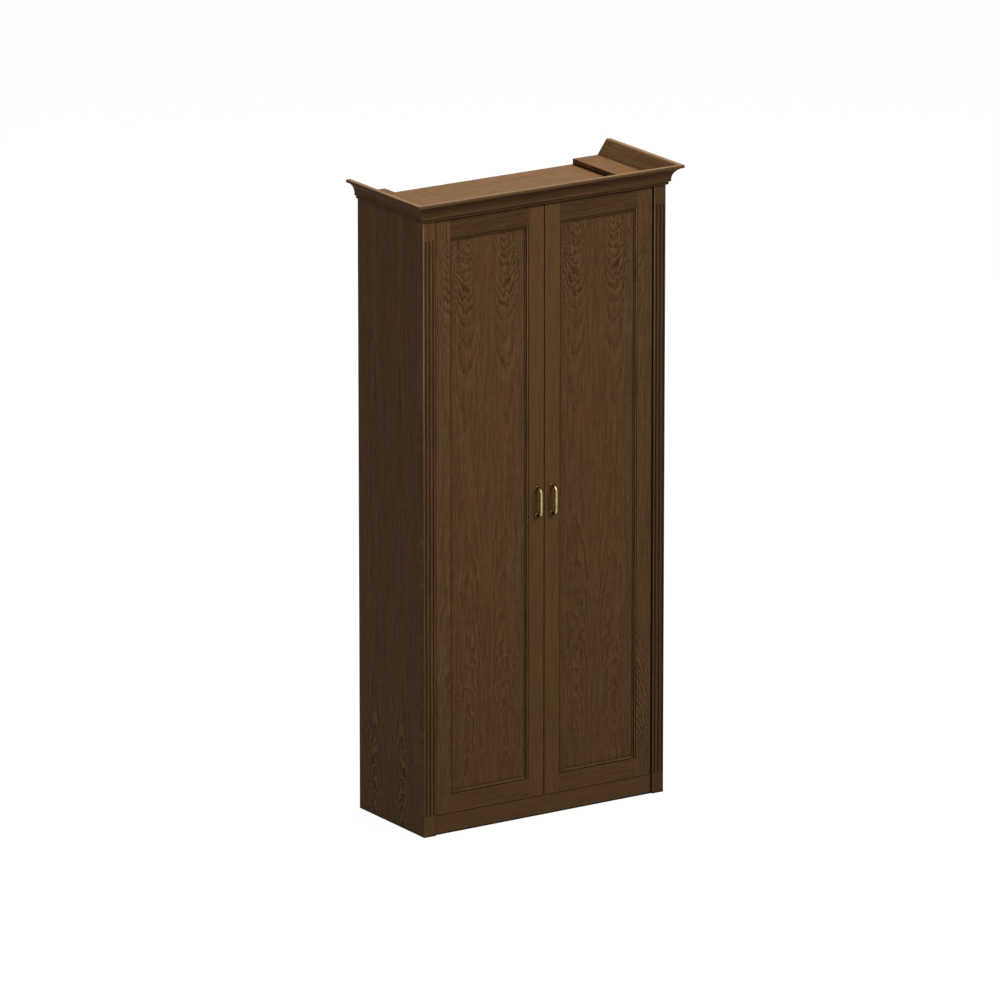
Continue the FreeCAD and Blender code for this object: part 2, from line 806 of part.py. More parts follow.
def hinge_stile(side):
    """Stile with a bore for each hinge cup and pilot holes for its two screws."""
    owner = body(f"{side_name(side)}_door_hinge_stile", z=DOOR_FOOT)
    plan = sketch_on(owner, "XY_Plane")
    outline(plan, stile_corners(side, as_size(0), S.stile_width, S.door_rounding))
    pad(owner, plan, DOOR_HEIGHT)
    bores = sketch_on(owner, "XZ_Plane", z=-DOOR_BACK)
    pilots = sketch_on(owner, "XZ_Plane", z=-DOOR_BACK)
    centre = door_x(side, S.cup_edge)
    for number in range(HINGE_COUNT):
        level = hinge_level(number) - DOOR_FOOT
        circle(bores, centre, level, S.cup_radius + S.cup_play)
        for way in (-1, 1):
            circle(pilots, centre, level + S.cup_screw_offset * way,
                   S.hinge_screw_radius + S.hinge_screw_play)
    pocket(owner, bores, S.cup_depth + S.cup_play, reverse=True)
    pocket(owner, pilots, S.hinge_screw_length, reverse=True)


def meeting_stile(side):
    """Stile at the middle of the cabinet, drilled through for the handle."""
    owner = body(f"{side_name(side)}_door_meeting_stile", z=DOOR_FOOT)
    plan = sketch_on(owner, "XY_Plane")
    outline(plan, stile_corners(side, DOOR_WIDTH, DOOR_WIDTH - S.stile_width, S.arris_radius))
    pad(owner, plan, DOOR_HEIGHT)
    holes = sketch_on(owner, "XZ_Plane", z=-DOOR_BACK)
    for way in (-1, 1):
        circle(holes, door_x(side, DOOR_WIDTH - S.handle_edge),
               HANDLE_LEVEL - DOOR_FOOT + S.handle_spacing / 2 * way,
               S.handle_screw_radius + S.hinge_screw_play)
    pocket(owner, holes, S.door_thickness, reverse=True)


def rail(side, at_top):
    """Rail between the stiles, grooved for the panel, with a stub tenon at each end."""
    name = "top_rail" if at_top else "bottom_rail"
    owner = body(f"{side_name(side)}_door_{name}")
    outer = DOOR_HEAD if at_top else DOOR_FOOT
    inwards = -1 if at_top else 1
    inner = outer + S.rail_height * inwards
    length = DOOR_WIDTH - S.stile_width * 2
    low_x = door_x(side, S.stile_width if side < 0 else S.stile_width + length)
    section = sketch_on(owner, "YZ_Plane", z=low_x)
    turn = inwards
    outline(section, [
        (DOOR_FACE, outer),
        (DOOR_FACE, inner - S.arris_radius * inwards, S.arris_radius, -turn),
        (DOOR_FACE + S.arris_radius, inner),
        (GROOVE_FRONT, inner),
        (GROOVE_FRONT, inner - GROOVE_FLOOR * inwards),
        (GROOVE_REAR, inner - GROOVE_FLOOR * inwards),
        (GROOVE_REAR, inner),
        (DOOR_BACK, inner),
        (DOOR_BACK, outer),
    ])
    pad(owner, section, length)
    tenon = sketch_on(owner, "YZ_Plane", z=low_x - S.tongue_depth)
    rectangle(tenon, PANEL_FACE, outer, PANEL_REAR, inner - GROOVE_FLOOR * inwards)
    pad(owner, tenon, length + S.tongue_depth * 2)


def door_panel(side):
    length = DOOR_WIDTH - S.stile_width * 2 + S.tongue_depth * 2
    start = S.stile_width - S.tongue_depth
    low_x = door_x(side, start if side < 0 else start + length)
    foot = DOOR_FOOT + S.rail_height - S.tongue_depth
    height = DOOR_HEIGHT - S.rail_height * 2 + S.tongue_depth * 2
    board(f"{side_name(side)}_door_panel", low_x, PANEL_FACE, foot,
          length, S.panel_thickness, height)


def cut_bead(sketch, place_corner, mirror):
    """What is cut from a moulding strip: everything above its quirk, bead and cove.
    Corners run across the strip from the frame, and up from the door panel."""
    rise = S.panel_recess - S.moulding_drop
    bead_end = S.quirk_width + S.bead_radius * 2
    crown = rise - S.bead_relief
    shoulder = crown - S.bead_radius
    cove = diagonal(S.moulding_width - bead_end, S.bead_foot - S.moulding_lip)
    far = S.moulding_width + S.overrun
    corners = [
        (-S.overrun, S.quirk_height, None, 0),
        (S.quirk_width, S.quirk_height, None, 0),
        (S.quirk_width, shoulder, S.bead_radius, -1),
        (S.quirk_width + S.bead_radius, crown, S.bead_radius, -1),
        (bead_end, shoulder, None, 0),
        (bead_end, S.bead_foot, cove, 1),
        (S.moulding_width, S.moulding_lip, None, 0),
        (far, S.moulding_lip, None, 0),
        (far, rise + S.overrun, None, 0),
        (-S.overrun, rise + S.overrun, None, 0),
    ]
    drawn = []
    for across, up, radius, turn in corners:
        corner = place_corner(across, up)
        drawn.append(corner if radius is None else corner + (radius, turn * mirror))
    outline(sketch, drawn)


def moulding(side):
    """Four mitred lengths of beaded moulding round the panel."""
    group = doc.addObject("Part::Compound", f"{side_name(side)}_door_moulding")
    rise = S.panel_recess - S.moulding_drop
    width = DOOR_WIDTH - S.stile_width * 2
    height = DOOR_HEIGHT - S.rail_height * 2
    low = door_x(side, S.stile_width if side < 0 else S.stile_width + width)
    foot = DOOR_FOOT + S.rail_height
    strip = S.moulding_width
    members = []
    for way in (-1, 1):
        upright = body(f"{side_name(side)}_upright_bead", x=low + width / 2 + width / 2 * way,
                       y=PANEL_FACE, z=foot)
        front = sketch_on(upright, "XZ_Plane")
        outline(front, [(0, 0), (-strip * way, strip), (-strip * way, height - strip), (0, height)])
        pad(upright, front, rise)
        section = sketch_on(upright, "XY_Plane", z=-S.overrun)
        cut_bead(section, lambda across, up, way=way: (across * -way, -up), way)
        pocket(upright, section, height + S.overrun * 2, reverse=True)
        level = body(f"{side_name(side)}_level_bead", x=low, y=PANEL_FACE,
                     z=foot + height / 2 + height / 2 * way)
        front = sketch_on(level, "XZ_Plane")
        outline(front, [(0, 0), (strip, -strip * way), (width - strip, -strip * way), (width, 0)])
        pad(level, front, rise)
        section = sketch_on(level, "YZ_Plane", z=-S.overrun)
        cut_bead(section, lambda across, up, way=way: (-up, across * -way), -way)
        pocket(level, section, width + S.overrun * 2, reverse=True)
        members += [upright, level]
    group.Links = members


# Bow handle

def handle(side):
    """Bow handle: a swelling grip between rings, on two curved necks with round feet."""
    owner = body(f"{side_name(side)}_handle", door_x(side, DOOR_WIDTH - S.handle_edge),
                 DOOR_FACE, HANDLE_LEVEL)
    foot_level = S.handle_spacing / 2
    grip_end = S.grip_length / 2
    ring_foot = grip_end - S.ring_width
    ring_edge = S.ring_width / 3
    ring_face = S.ring_radius - ring_edge
    grip = sketch_on(owner, "XZ_Plane", z=S.handle_reach)
    outline(grip, [
        (0, -grip_end), (ring_face, -grip_end), (S.ring_radius, ring_edge - grip_end),
        (S.ring_radius, -ring_foot - ring_edge), (ring_face, -ring_foot), (S.grip_radius, -ring_foot),
        (S.grip_radius + S.grip_swell, 0), (S.grip_radius, ring_foot), (ring_face, ring_foot),
        (S.ring_radius, ring_foot + ring_edge), (S.ring_radius, grip_end - ring_edge),
        (ring_face, grip_end), (0, grip_end),
    ])
    turned(owner, "Revolution", grip, "V_Axis")
    foot = sketch_on(owner, "XY_Plane", z=foot_level)
    thickness = S.handle_foot_thickness
    outline(foot, [
        (0, 0), (S.handle_foot_radius, 0), (S.handle_foot_radius, -thickness / 2),
        (S.neck_radius, -thickness), (0, -thickness),
    ])
    turned(owner, "Revolution", foot, "V_Axis")
    bend = foot_level - grip_end
    spine = sketch_on(owner, "YZ_Plane")
    outline(spine, [
        (-thickness / 2, foot_level), (bend - S.handle_reach, foot_level, bend, 1),
        (-S.handle_reach, grip_end),
    ], closed=False)
    thick = sketch_on(owner, "XZ_Plane", z=thickness / 2)
    circle(thick, 0, foot_level, S.neck_radius)
    thin = sketch_on(owner, "XY_Plane", z=grip_end)
    circle(thin, 0, -S.handle_reach, S.grip_radius)
    neck = feature(owner, "AdditivePipe", thick, Transformation="Multisection")
    neck.Spine = (spine, [""])
    neck.Sections = [(thin, [""])]
    bore = sketch_on(owner, "XZ_Plane")
    circle(bore, 0, foot_level, S.handle_screw_radius + S.pin_play)
    pocket(owner, bore, S.handle_screw_grip, reverse=True)
    twin(owner, "XY_Plane")


def handle_screws(side):
    """Two machine screws from inside the door into the handle's feet."""
    centre_x = door_x(side, DOOR_WIDTH - S.handle_edge)
    owner = body(f"{side_name(side)}_handle_screws", centre_x, DOOR_BACK,
                 HANDLE_LEVEL - S.handle_spacing / 2)
    section = sketch_on(owner, "XY_Plane")
    tip = S.door_thickness + S.handle_screw_grip
    head_radius = S.handle_screw_head_radius
    outline(section, [
        (0, -tip), (S.handle_screw_radius, -tip), (S.handle_screw_radius, 0), (head_radius, 0),
        (head_radius, S.handle_screw_head / 2), (head_radius / 2, S.handle_screw_head),
        (0, S.handle_screw_head),
    ])
    turned(owner, "Revolution", section, "V_Axis")
    repeat(owner, "Z_Axis", S.handle_spacing, 2)


# Concealed hinges, each drawn about its pin: inwards across the door, and backwards

def hinge_body(label, side):
    return body(f"{side_name(side)}_{label}", PIN_X * side, PIN_Y, HINGE_FOOT)


def hinge_cups(side):
    """Cup with a winged flange, crossed by the hinge pin."""
    owner = hinge_body("hinge_cups", side)
    centre = (S.pin_edge - S.cup_edge) * side
    mouth = S.pin_depth
    floor = S.pin_depth - S.cup_depth
    lip = S.cup_radius + S.flange_lip
    shell = sketch_on(owner, "XY_Plane", x=centre)
    outline(shell, [
        (0, floor),
        (S.cup_radius - S.cup_rounding, floor, S.cup_rounding, 1),
        (S.cup_radius, floor + S.cup_rounding),
        (S.cup_radius, mouth), (lip, mouth), (lip, mouth + S.flange_thickness),
        (0, mouth + S.flange_thickness),
    ])
    turned(owner, "Revolution", shell, "V_Axis")
    wings = sketch_on(owner, "XZ_Plane", x=centre, z=-mouth)
    half = S.flange_half_width
    straight = S.flange_reach - half
    outline(wings, [
        (half, -straight), (half, straight, half, 1), (0, S.flange_reach, half, 1),
        (-half, straight), (-half, -straight, half, 1), (0, -S.flange_reach, half, 1),
    ])
    pad(owner, wings, S.flange_thickness, reverse=True)
    hollow = sketch_on(owner, "XY_Plane", x=centre)
    inner = S.cup_radius - S.cup_wall
    outline(hollow, [
        (0, floor + S.cup_wall),
        (inner - S.cup_rounding, floor + S.cup_wall, S.cup_rounding, 1),
        (inner, floor + S.cup_wall + S.cup_rounding),
        (inner, mouth + S.flange_thickness + S.overrun),
        (0, mouth + S.flange_thickness + S.overrun),
    ])
    turned(owner, "Groove", hollow, "V_Axis")
    pin_hole = sketch_on(owner, "XY_Plane", z=-S.cup_radius)
    circle(pin_hole, 0, 0, S.pin_radius + S.pin_seat)
    pocket(owner, pin_hole, S.cup_radius * 2, reverse=True)
    screw_holes = sketch_on(owner, "XZ_Plane", x=centre, z=-mouth)
    for way in (-1, 1):
        circle(screw_holes, 0, S.cup_screw_offset * way, S.hinge_screw_radius + S.hinge_screw_play)
    pocket(owner, screw_holes, S.flange_thickness)
    repeat(owner, "Z_Axis", HINGE_RUN, HINGE_COUNT)


def hinge_pins(side):
    owner = hinge_body("hinge_pins", side)
    end = sketch_on(owner, "XY_Plane", z=-S.pin_length / 2)
    circle(end, 0, 0, S.pin_radius)
    pad(owner, end, S.pin_length)
    repeat(owner, "Z_Axis", HINGE_RUN, HINGE_COUNT)


def hinge_arms(side):
    """Swan-neck arm: from the eye on the pin out of the cup, round behind the door's
    edge, and back along the mounting plate."""
    owner = hinge_body("hinge_arms", side)
    inwards = -side
    bend = S.arm_bend
    out = S.arm_neck_out
    back = S.arm_neck_back
    rear_x = -PIN_TO_BLOCK + S.plate_thickness + S.plate_rise + S.arm_thickness / 2
    path = sketch_on(owner, "XY_Plane")
    outline(path, [
        (0, 0),
        ((out - bend) * inwards, 0, bend, inwards),
        (out * inwards, bend),
        (out * inwards, back - bend, bend, inwards),
        ((out - bend) * inwards, back),
        ((rear_x + bend) * inwards, back, bend, -inwards),
        (rear_x * inwards, back + bend),
        (rear_x * inwards, S.arm_length),
    ], closed=False)
    strap = sketch_on(owner, "YZ_Plane")
    rectangle(strap, -S.arm_thickness / 2, -S.arm_width / 2, S.arm_thickness / 2, S.arm_width / 2)
    pipe = owner.newObject("PartDesign::AdditivePipe", "Neck")
    pipe.Profile = strap
    pipe.Spine = (path, [""])
    eye = sketch_on(owner, "XY_Plane", z=-S.arm_width / 2)
    circle(eye, 0, 0, S.arm_eye_radius)
    pad(owner, eye, S.arm_width)
    bore = sketch_on(owner, "XY_Plane", z=-S.arm_width / 2)
    circle(bore, 0, 0, S.pin_radius + S.pin_play)
    pocket(owner, bore, S.arm_width, reverse=True)
    repeat(owner, "Z_Axis", HINGE_RUN, HINGE_COUNT)


def hinge_plates(side):
    """Winged mounting plate with a raised spine that the arm lies on."""
    owner = hinge_body("hinge_plates", side)
    half = S.plate_half_height
    start = S.plate_start
    end = S.plate_start + S.plate_length
    corner = S.plate_rounding
    wings = sketch_on(owner, "YZ_Plane", z=PIN_TO_BLOCK * side)
    outline(wings, [
        (start + corner, -half),
        (end - corner, -half, corner, 1), (end, -half + corner),
        (end, half - corner, corner, 1), (end - corner, half),
        (start + corner, half, corner, 1), (start, half - corner),
        (start, -half + corner, corner, 1),
    ])
    pad(owner, wings, S.plate_thickness, reverse=side > 0)
    spine = sketch_on(owner, "YZ_Plane", z=PIN_TO_BLOCK * side)
    rectangle(spine, start, -S.arm_width / 2, end, S.arm_width / 2)
    pad(owner, spine, S.plate_thickness + S.plate_rise, reverse=side > 0)
    holes = sketch_on(owner, "YZ_Plane", z=PIN_TO_BLOCK * side)
    for way in (-1, 1):
        circle(holes, start + S.plate_length / 2, S.plate_screw_offset * way,
               S.hinge_screw_radius + S.hinge_screw_play)
    pocket(owner, holes, S.plate_thickness, reverse=side < 0)
    repeat(owner, "Z_Axis", HINGE_RUN, HINGE_COUNT)


def hinge_blocks(side):
    """Packing blocks that bring the mounting plates flush with the pilaster."""
    owner = hinge_body("hinge_blocks", side)
    face = sketch_on(owner, "YZ_Plane", z=PIN_TO_BLOCK * side)
    half = S.hinge_block_height / 2
    near = FRONT - PIN_Y
    rectangle(face, near, -half, near + S.hinge_block_depth, half)
    pad(owner, face, S.pilaster_width - S.board_thickness, reverse=side < 0)
    pilots = sketch_on(owner, "YZ_Plane", z=PIN_TO_BLOCK * side)
    for way in (-1, 1):
        circle(pilots, S.plate_start + S.plate_length / 2, S.plate_screw_offset * way,
               S.hinge_screw_radius + S.hinge_screw_play)
    pocket(owner, pilots, S.hinge_screw_length, reverse=side > 0)
    repeat(owner, "Z_Axis", HINGE_RUN, HINGE_COUNT)


def screw_section(sketch):
    """Half of a pan-head screw: its shank down the sketch's y axis from a head at zero."""
    radius = S.hinge_screw_radius
    head = S.hinge_screw_head_radius
    tip = S.hinge_screw_length
    outline(sketch, [
        (0, -tip), (radius, -tip + radius), (radius, 0), (head, 0),
        (head, S.hinge_screw_head / 2), (head / 2, S.hinge_screw_head), (0, S.hinge_screw_head),
    ])


def cup_screws(side):
    owner = hinge_body("cup_screws", side)
    centre = (S.pin_edge - S.cup_edge) * side
    section = sketch_on(owner, "XY_Plane", x=centre, y=S.pin_depth + S.flange_thickness,
                        z=S.cup_screw_offset)
    screw_section(section)
    turned(owner, "Revolution", section, "V_Axis")
    twin(owner, "XY_Plane")
    repeat(owner, "Z_Axis", HINGE_RUN, HINGE_COUNT)


def plate_screws(side):
    owner = hinge_body("plate_screws", side)
    head_x = (PIN_TO_BLOCK - S.plate_thickness) * side
    section = sketch_on(owner, "XY_Plane", x=head_x, y=S.plate_start + S.plate_length / 2,
                        z=S.plate_screw_offset)
    radius = S.hinge_screw_radius
    head = S.hinge_screw_head_radius
    tip = S.hinge_screw_length
    outline(section, [
        (tip * side, 0), ((tip - radius) * side, radius), (0, radius), (0, head),
        (-S.hinge_screw_head / 2 * side, head), (-S.hinge_screw_head * side, head / 2),
        (-S.hinge_screw_head * side, 0),
    ])
    turned(owner, "Revolution", section, "H_Axis")
    twin(owner, "XY_Plane")
    repeat(owner, "Z_Axis", HINGE_RUN, HINGE_COUNT)


def build():
    top_panel()
    bottom_panel()
    back_panel()
    shelves()
    shelf_supports()
    plinth()
    cams_and_bolts()
    levelling_feet()
    door_bumpers()
    cornice()
    ledgers()
    for side in (-1, 1):
        side_panel(side)
        pilaster(side)
        hinge_blocks(side)
        hinge_plates(side)
        plate_screws(side)
        hinge_arms(side)
        hinge_stile(side)
        meeting_stile(side)
        rail(side, at_top=True)
        rail(side, at_top=False)
        door_panel(side)
        moulding(side)
        hinge_cups(side)
        cup_screws(side)
        hinge_pins(side)
        handle(side)
        handle_screws(side)
    doc.recompute()


CARCASS_NODES = [
    "top_panel", "bottom_panel", "back_panel", "shelf_1", "fixed_shelf", "shelf_3", "shelf_4",
    "shelf_supports", "plinth_board", "plinth_rear_rail", "plinth_cross_rail", "cam_fittings",
    "connecting_bolts", "leveller_sockets", "levelling_feet", "door_bumpers",
    "cornice_front", "cornice_left", "cornice_right", "ledger_front", "ledger_left", "ledger_right",
]
SIDE_NODES = [
    "side_panel", "pilaster", "hinge_blocks", "hinge_plates", "plate_screws", "hinge_arms",
    "door_hinge_stile", "door_meeting_stile", "door_top_rail", "door_bottom_rail", "door_panel",
    "door_moulding", "hinge_cups", "cup_screws", "hinge_pins", "handle", "handle_screws",
]


def check(labels):
    """Stops on a failed object, a cut that removes nothing, or a bad solid."""
    for item in doc.Objects:
        if "Invalid" in item.State or "Error" in item.State:
            raise RuntimeError(f"{item.Name} did not build: {item.State}")
        if item.TypeId in ("PartDesign::Pocket", "PartDesign::Groove"):
            before = item.BaseFeature.Shape.Volume
            if item.Shape.Volume >= before:
                raise RuntimeError(f"{item.Name} cuts nothing")
    for label in labels:
        shape = doc.getObject(label).Shape
        if shape.isNull() or not shape.isValid() or not shape.Solids:
            raise RuntimeError(f"{label} is not a valid solid")


def export(labels):
    os.makedirs("parts", exist_ok=True)
    for label in labels:
        doc.getObject(label).Shape.exportStep(f"parts/{label}.step")


def main():
    build()
    labels = list(CARCASS_NODES)
    for name in SIDE_NODES:
        labels += [f"left_{name}", f"right_{name}"]
    check(labels)
    export(labels)
    print(len(labels), "nodes")


main()
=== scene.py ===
import math
from typing import NamedTuple

import bmesh
import bpy
from mathutils import Matrix, Vector

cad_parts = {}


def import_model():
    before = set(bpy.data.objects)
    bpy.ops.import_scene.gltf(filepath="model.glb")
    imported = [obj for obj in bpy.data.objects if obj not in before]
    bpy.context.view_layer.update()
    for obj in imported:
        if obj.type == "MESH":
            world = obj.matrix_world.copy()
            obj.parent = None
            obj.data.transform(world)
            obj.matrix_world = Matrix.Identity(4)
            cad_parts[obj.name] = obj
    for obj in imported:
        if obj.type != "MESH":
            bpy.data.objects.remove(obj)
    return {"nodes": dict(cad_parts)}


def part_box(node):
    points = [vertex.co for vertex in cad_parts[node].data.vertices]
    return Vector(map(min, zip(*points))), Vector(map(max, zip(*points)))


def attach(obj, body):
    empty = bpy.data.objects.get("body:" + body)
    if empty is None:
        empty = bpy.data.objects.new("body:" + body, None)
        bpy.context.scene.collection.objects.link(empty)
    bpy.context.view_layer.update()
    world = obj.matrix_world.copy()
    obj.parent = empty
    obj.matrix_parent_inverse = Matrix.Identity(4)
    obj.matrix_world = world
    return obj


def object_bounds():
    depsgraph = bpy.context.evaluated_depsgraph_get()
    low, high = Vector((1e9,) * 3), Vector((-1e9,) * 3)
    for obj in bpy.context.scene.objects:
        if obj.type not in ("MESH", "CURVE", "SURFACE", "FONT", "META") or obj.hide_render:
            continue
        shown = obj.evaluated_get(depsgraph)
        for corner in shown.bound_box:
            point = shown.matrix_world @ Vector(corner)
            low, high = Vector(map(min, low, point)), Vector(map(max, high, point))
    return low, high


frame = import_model()
CAD_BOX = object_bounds()
SCENE = bpy.context.scene

# Places read from the frame, in metres

CABINET_LOW, CABINET_HIGH = CAD_BOX
CABINET_MIDDLE = (Vector(CABINET_LOW) + Vector(CABINET_HIGH)) / 2
PANEL_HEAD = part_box("left_door_panel")[1][2]
DOOR_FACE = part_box("left_door_hinge_stile")[0][1]


# Colours, written as they look on screen

def screen_to_linear(level):
    if level <= 0.04045:
        return level / 12.92
    return ((level + 0.055) / 1.055) ** 2.4


def linear(red, green, blue):
    """A colour on the 0 to 255 screen scale as Blender's linear values."""
    return tuple(screen_to_linear(channel / 255) for channel in (red, green, blue)) + (1.0,)


# Node graphs

# Sockets of a Mix node for colours: the share, the two colours and the result
MIX_SHARE, MIX_FIRST, MIX_SECOND, MIX_RESULT = 0, 6, 7, 2


class Graph:
    """Adds nodes to one material and joins their sockets."""

    def __init__(self, name):
        self.material = bpy.data.materials.new(name)
        self.material.use_nodes = True
        self.tree = self.material.node_tree
        self.shader = self.tree.nodes["Principled BSDF"]

    def add(self, kind, inputs=None, **settings):
        node = self.tree.nodes.new(kind)
        for name, setting in settings.items():
            setattr(node, name, setting)
        for key, given in (inputs or {}).items():
            self.feed(node.inputs[key], given)
        return node

    def feed(self, socket, given):
        if isinstance(given, bpy.types.NodeSocket):
            self.tree.links.new(given, socket)
        else:
            socket.default_value = given

    def split(self, vector):
        return self.add("ShaderNodeSeparateXYZ", {0: vector}).outputs

    def join(self, x, y, z):
        return self.add("ShaderNodeCombineXYZ", {0: x, 1: y, 2: z}).outputs[0]

    def math(self, operation, *given):
        node = self.add("ShaderNodeMath", dict(enumerate(given)), operation=operation)
        return node.outputs[0]

    def sum(self, first, second):
        return self.math("ADD", first, second)

    def product(self, first, second):
        return self.math("MULTIPLY", first, second)

    def noise(self, vector, scale=1.0, detail=2.0, roughness=0.5):
        node = self.add("ShaderNodeTexNoise",
                        {"Vector": vector, "Scale": scale, "Detail": detail, "Roughness": roughness})
        return node.outputs["Fac"]

    def grain(self, across, along, depth, scale, detail=2.0, roughness=0.5):
        """Noise stretched along the grain. The scale is across the grain and along it, per metre."""
        stretched = self.join(self.product(across, scale[0]), self.product(along, scale[1]), depth)
        return self.noise(stretched, detail=detail, roughness=roughness)

    def spread(self, value, low, high, to_low=0.0, to_high=1.0, smooth=True):
        """Maps the stretch from low to high onto the full range, or onto the range given."""
        kind = "SMOOTHSTEP" if smooth else "LINEAR"
        node = self.add("ShaderNodeMapRange", {
            "Value": value, "From Min": low, "From Max": high, "To Min": to_low, "To Max": to_high,
        }, interpolation_type=kind)
        return node.outputs["Result"]

    def shift(self, noise, reach):
        """A noise value as an offset that runs from minus the reach to the reach."""
        return self.spread(noise, 0.0, 1.0, -reach, reach, smooth=False)

    def mix(self, share, first, second):
        node = self.add("ShaderNodeMix", data_type="RGBA", blend_type="MIX")
        self.feed(node.inputs[MIX_SHARE], share)
        self.feed(node.inputs[MIX_FIRST], first)
        self.feed(node.inputs[MIX_SECOND], second)
        return node.outputs[MIX_RESULT]

    def bump(self, height, distance, strength):
        given = {"Height": height, "Distance": distance, "Strength": strength}
        return self.add("ShaderNodeBump", given).outputs[0]

    def finish(self, **sockets):
        for name, given in sockets.items():
            self.feed(self.shader.inputs[name.replace("_", " ")], given)
        return self.material


# Veneer

OLIVE_BROWN = linear(108, 81, 49)
RED_BROWN = linear(115, 79, 54)
DARK_LINE = linear(50, 34, 19)
PORE_BROWN = linear(34, 23, 13)
# Painted shade, laid into grooves, quirks and gaps by how closed in they are
HOLLOW_SHADE_COLOUR = linear(30, 18, 8)
PALE_FLECK = linear(140, 112, 76)
PALE_LINE = linear(142, 112, 78)
# Pale edges: wear, and a painted highlight on arrises, beads and rims
WORN_EDGE_AND_HIGHLIGHT = linear(168, 136, 96)
VENEER_GLOSS = 0.035

# Which way a board's veneer lies: across its grain, along it, and into the board
GRAIN_AXES = {
    "upright": (0, 2, 1),
    "upright side": (1, 2, 0),
    "across": (2, 0, 1),
    "across top": (1, 0, 2),
    "back to front": (0, 1, 2),
    "side back to front": (2, 1, 0),
}

# How fine each kind of mark is: marks to the metre across the grain and along it
FIBRE_SCALE = (330.0, 9.0)
PORE_SCALE = (900.0, 24.0)
MOTTLE_SCALE = (12.0, 4.0)
STREAK_SCALE = (105.0, 4.0)
FLECK_SCALE = (380.0, 22.0)
DRIFT_SCALE = (5.0, 1.3)
RAGGED_SCALE = (42.0, 24.0)
PATCH_SCALE = (14.0, 5.0)

# The stretch of noise values in which each kind of mark comes in
FIBRE_BAND = (0.30, 0.75)
PORE_BAND = (0.60, 0.70)
MOTTLE_BAND = (0.38, 0.62)
STREAK_BAND = (0.36, 0.66)
FLECK_BAND = (0.54, 0.72)
PATCH_BAND = (0.36, 0.60)
BREAKUP_BAND = (0.35, 0.62)

# How much of its colour each kind of mark takes on at full strength
STREAK_SHARE = 0.30
FLECK_SHARE = 0.30
FIBRE_SHARE = 0.24
LATE_WOOD_SHARE = 0.62
PORE_SHARE = 0.30
PORE_SHARE_BY_FIGURE = 0.20
PORES_IN_LATE_WOOD = 0.14
RED_DRIFT = 0.25

# Growth rings, in metres
RING_PITCH = 0.0115
DRIFT = 0.020
RAGGED = 0.016
TAPER = 0.012
# Length in which the arches of a board's foot give way to those above
FOOT_FADE = 0.35

# Shares of a ring, from its inner side outwards. Late wood is widest where the arches start.
EARLY_WOOD_RISE = (0.0, 0.12)
EARLY_WOOD_FALL = (0.40, 0.22)
LATE_WOOD_BEGIN = (0.75, 0.42)
LATE_WOOD_FULL = 0.90
LATE_WOOD_FALL = (1.0, 0.92)

# What sets one field of a board apart from another that has the same seed
MOTTLE_SEED = 3.0
PATCH_SEED = 7.0
FOOT_SEED = 29.0

# Relief of the grain in metres, and how rough fibres and pores are
GRAIN_RELIEF = 0.00012
GRAIN_STRENGTH = 0.7
FIBRE_RELIEF_SHARE = 0.35
ROUGHNESS = (0.48, 0.62)
PORE_ROUGHNESS = 0.12

# How far the painted shade in hollows and the edge wear with its painted highlight reach, in metres, and
# how closed in or turned a place is that takes them
HOLLOW_REACH = 0.009
HOLLOW_BAND = (0.97, 0.66)
EDGE_REACH = 0.0022
EDGE_BAND = (0.995, 0.86)


class Arches(NamedTuple):
    """A set of nested arches: the level along the grain where it starts, its way along the grain
    (1 or -1), how far it spreads the rings and over what run, half the width in which they lie
    evenly, and how round its heads are, from 1 for pointed to 2 for round."""
    start: float = 0.0
    way: int = -1
    spread: float = 0.0
    run: float = 0.31
    flank: float = 0.08
    point: float = 1.7


class Foot(NamedTuple):
    """Arches at a board's foot, how clear they are, and how far up they stay whole."""
    arches: Arches
    share: float
    reach: float


class Look(NamedTuple):
    """How strongly a board shows its ring figure, plain streaks, raggedness of the rings, pale
    early wood, painted shade in its hollows and worn edges with a painted highlight, and how red, bright
    and rich its colour is."""
    figure: float = 1.0
    streaky: float = 1.0
    ragged: float = 1.0
    pale: float = 0.22
    shade_in_hollows: float = 0.92
    worn: float = 0.5
    red: float = 0.5
    tone: float = 1.0
    rich: float = 1.0


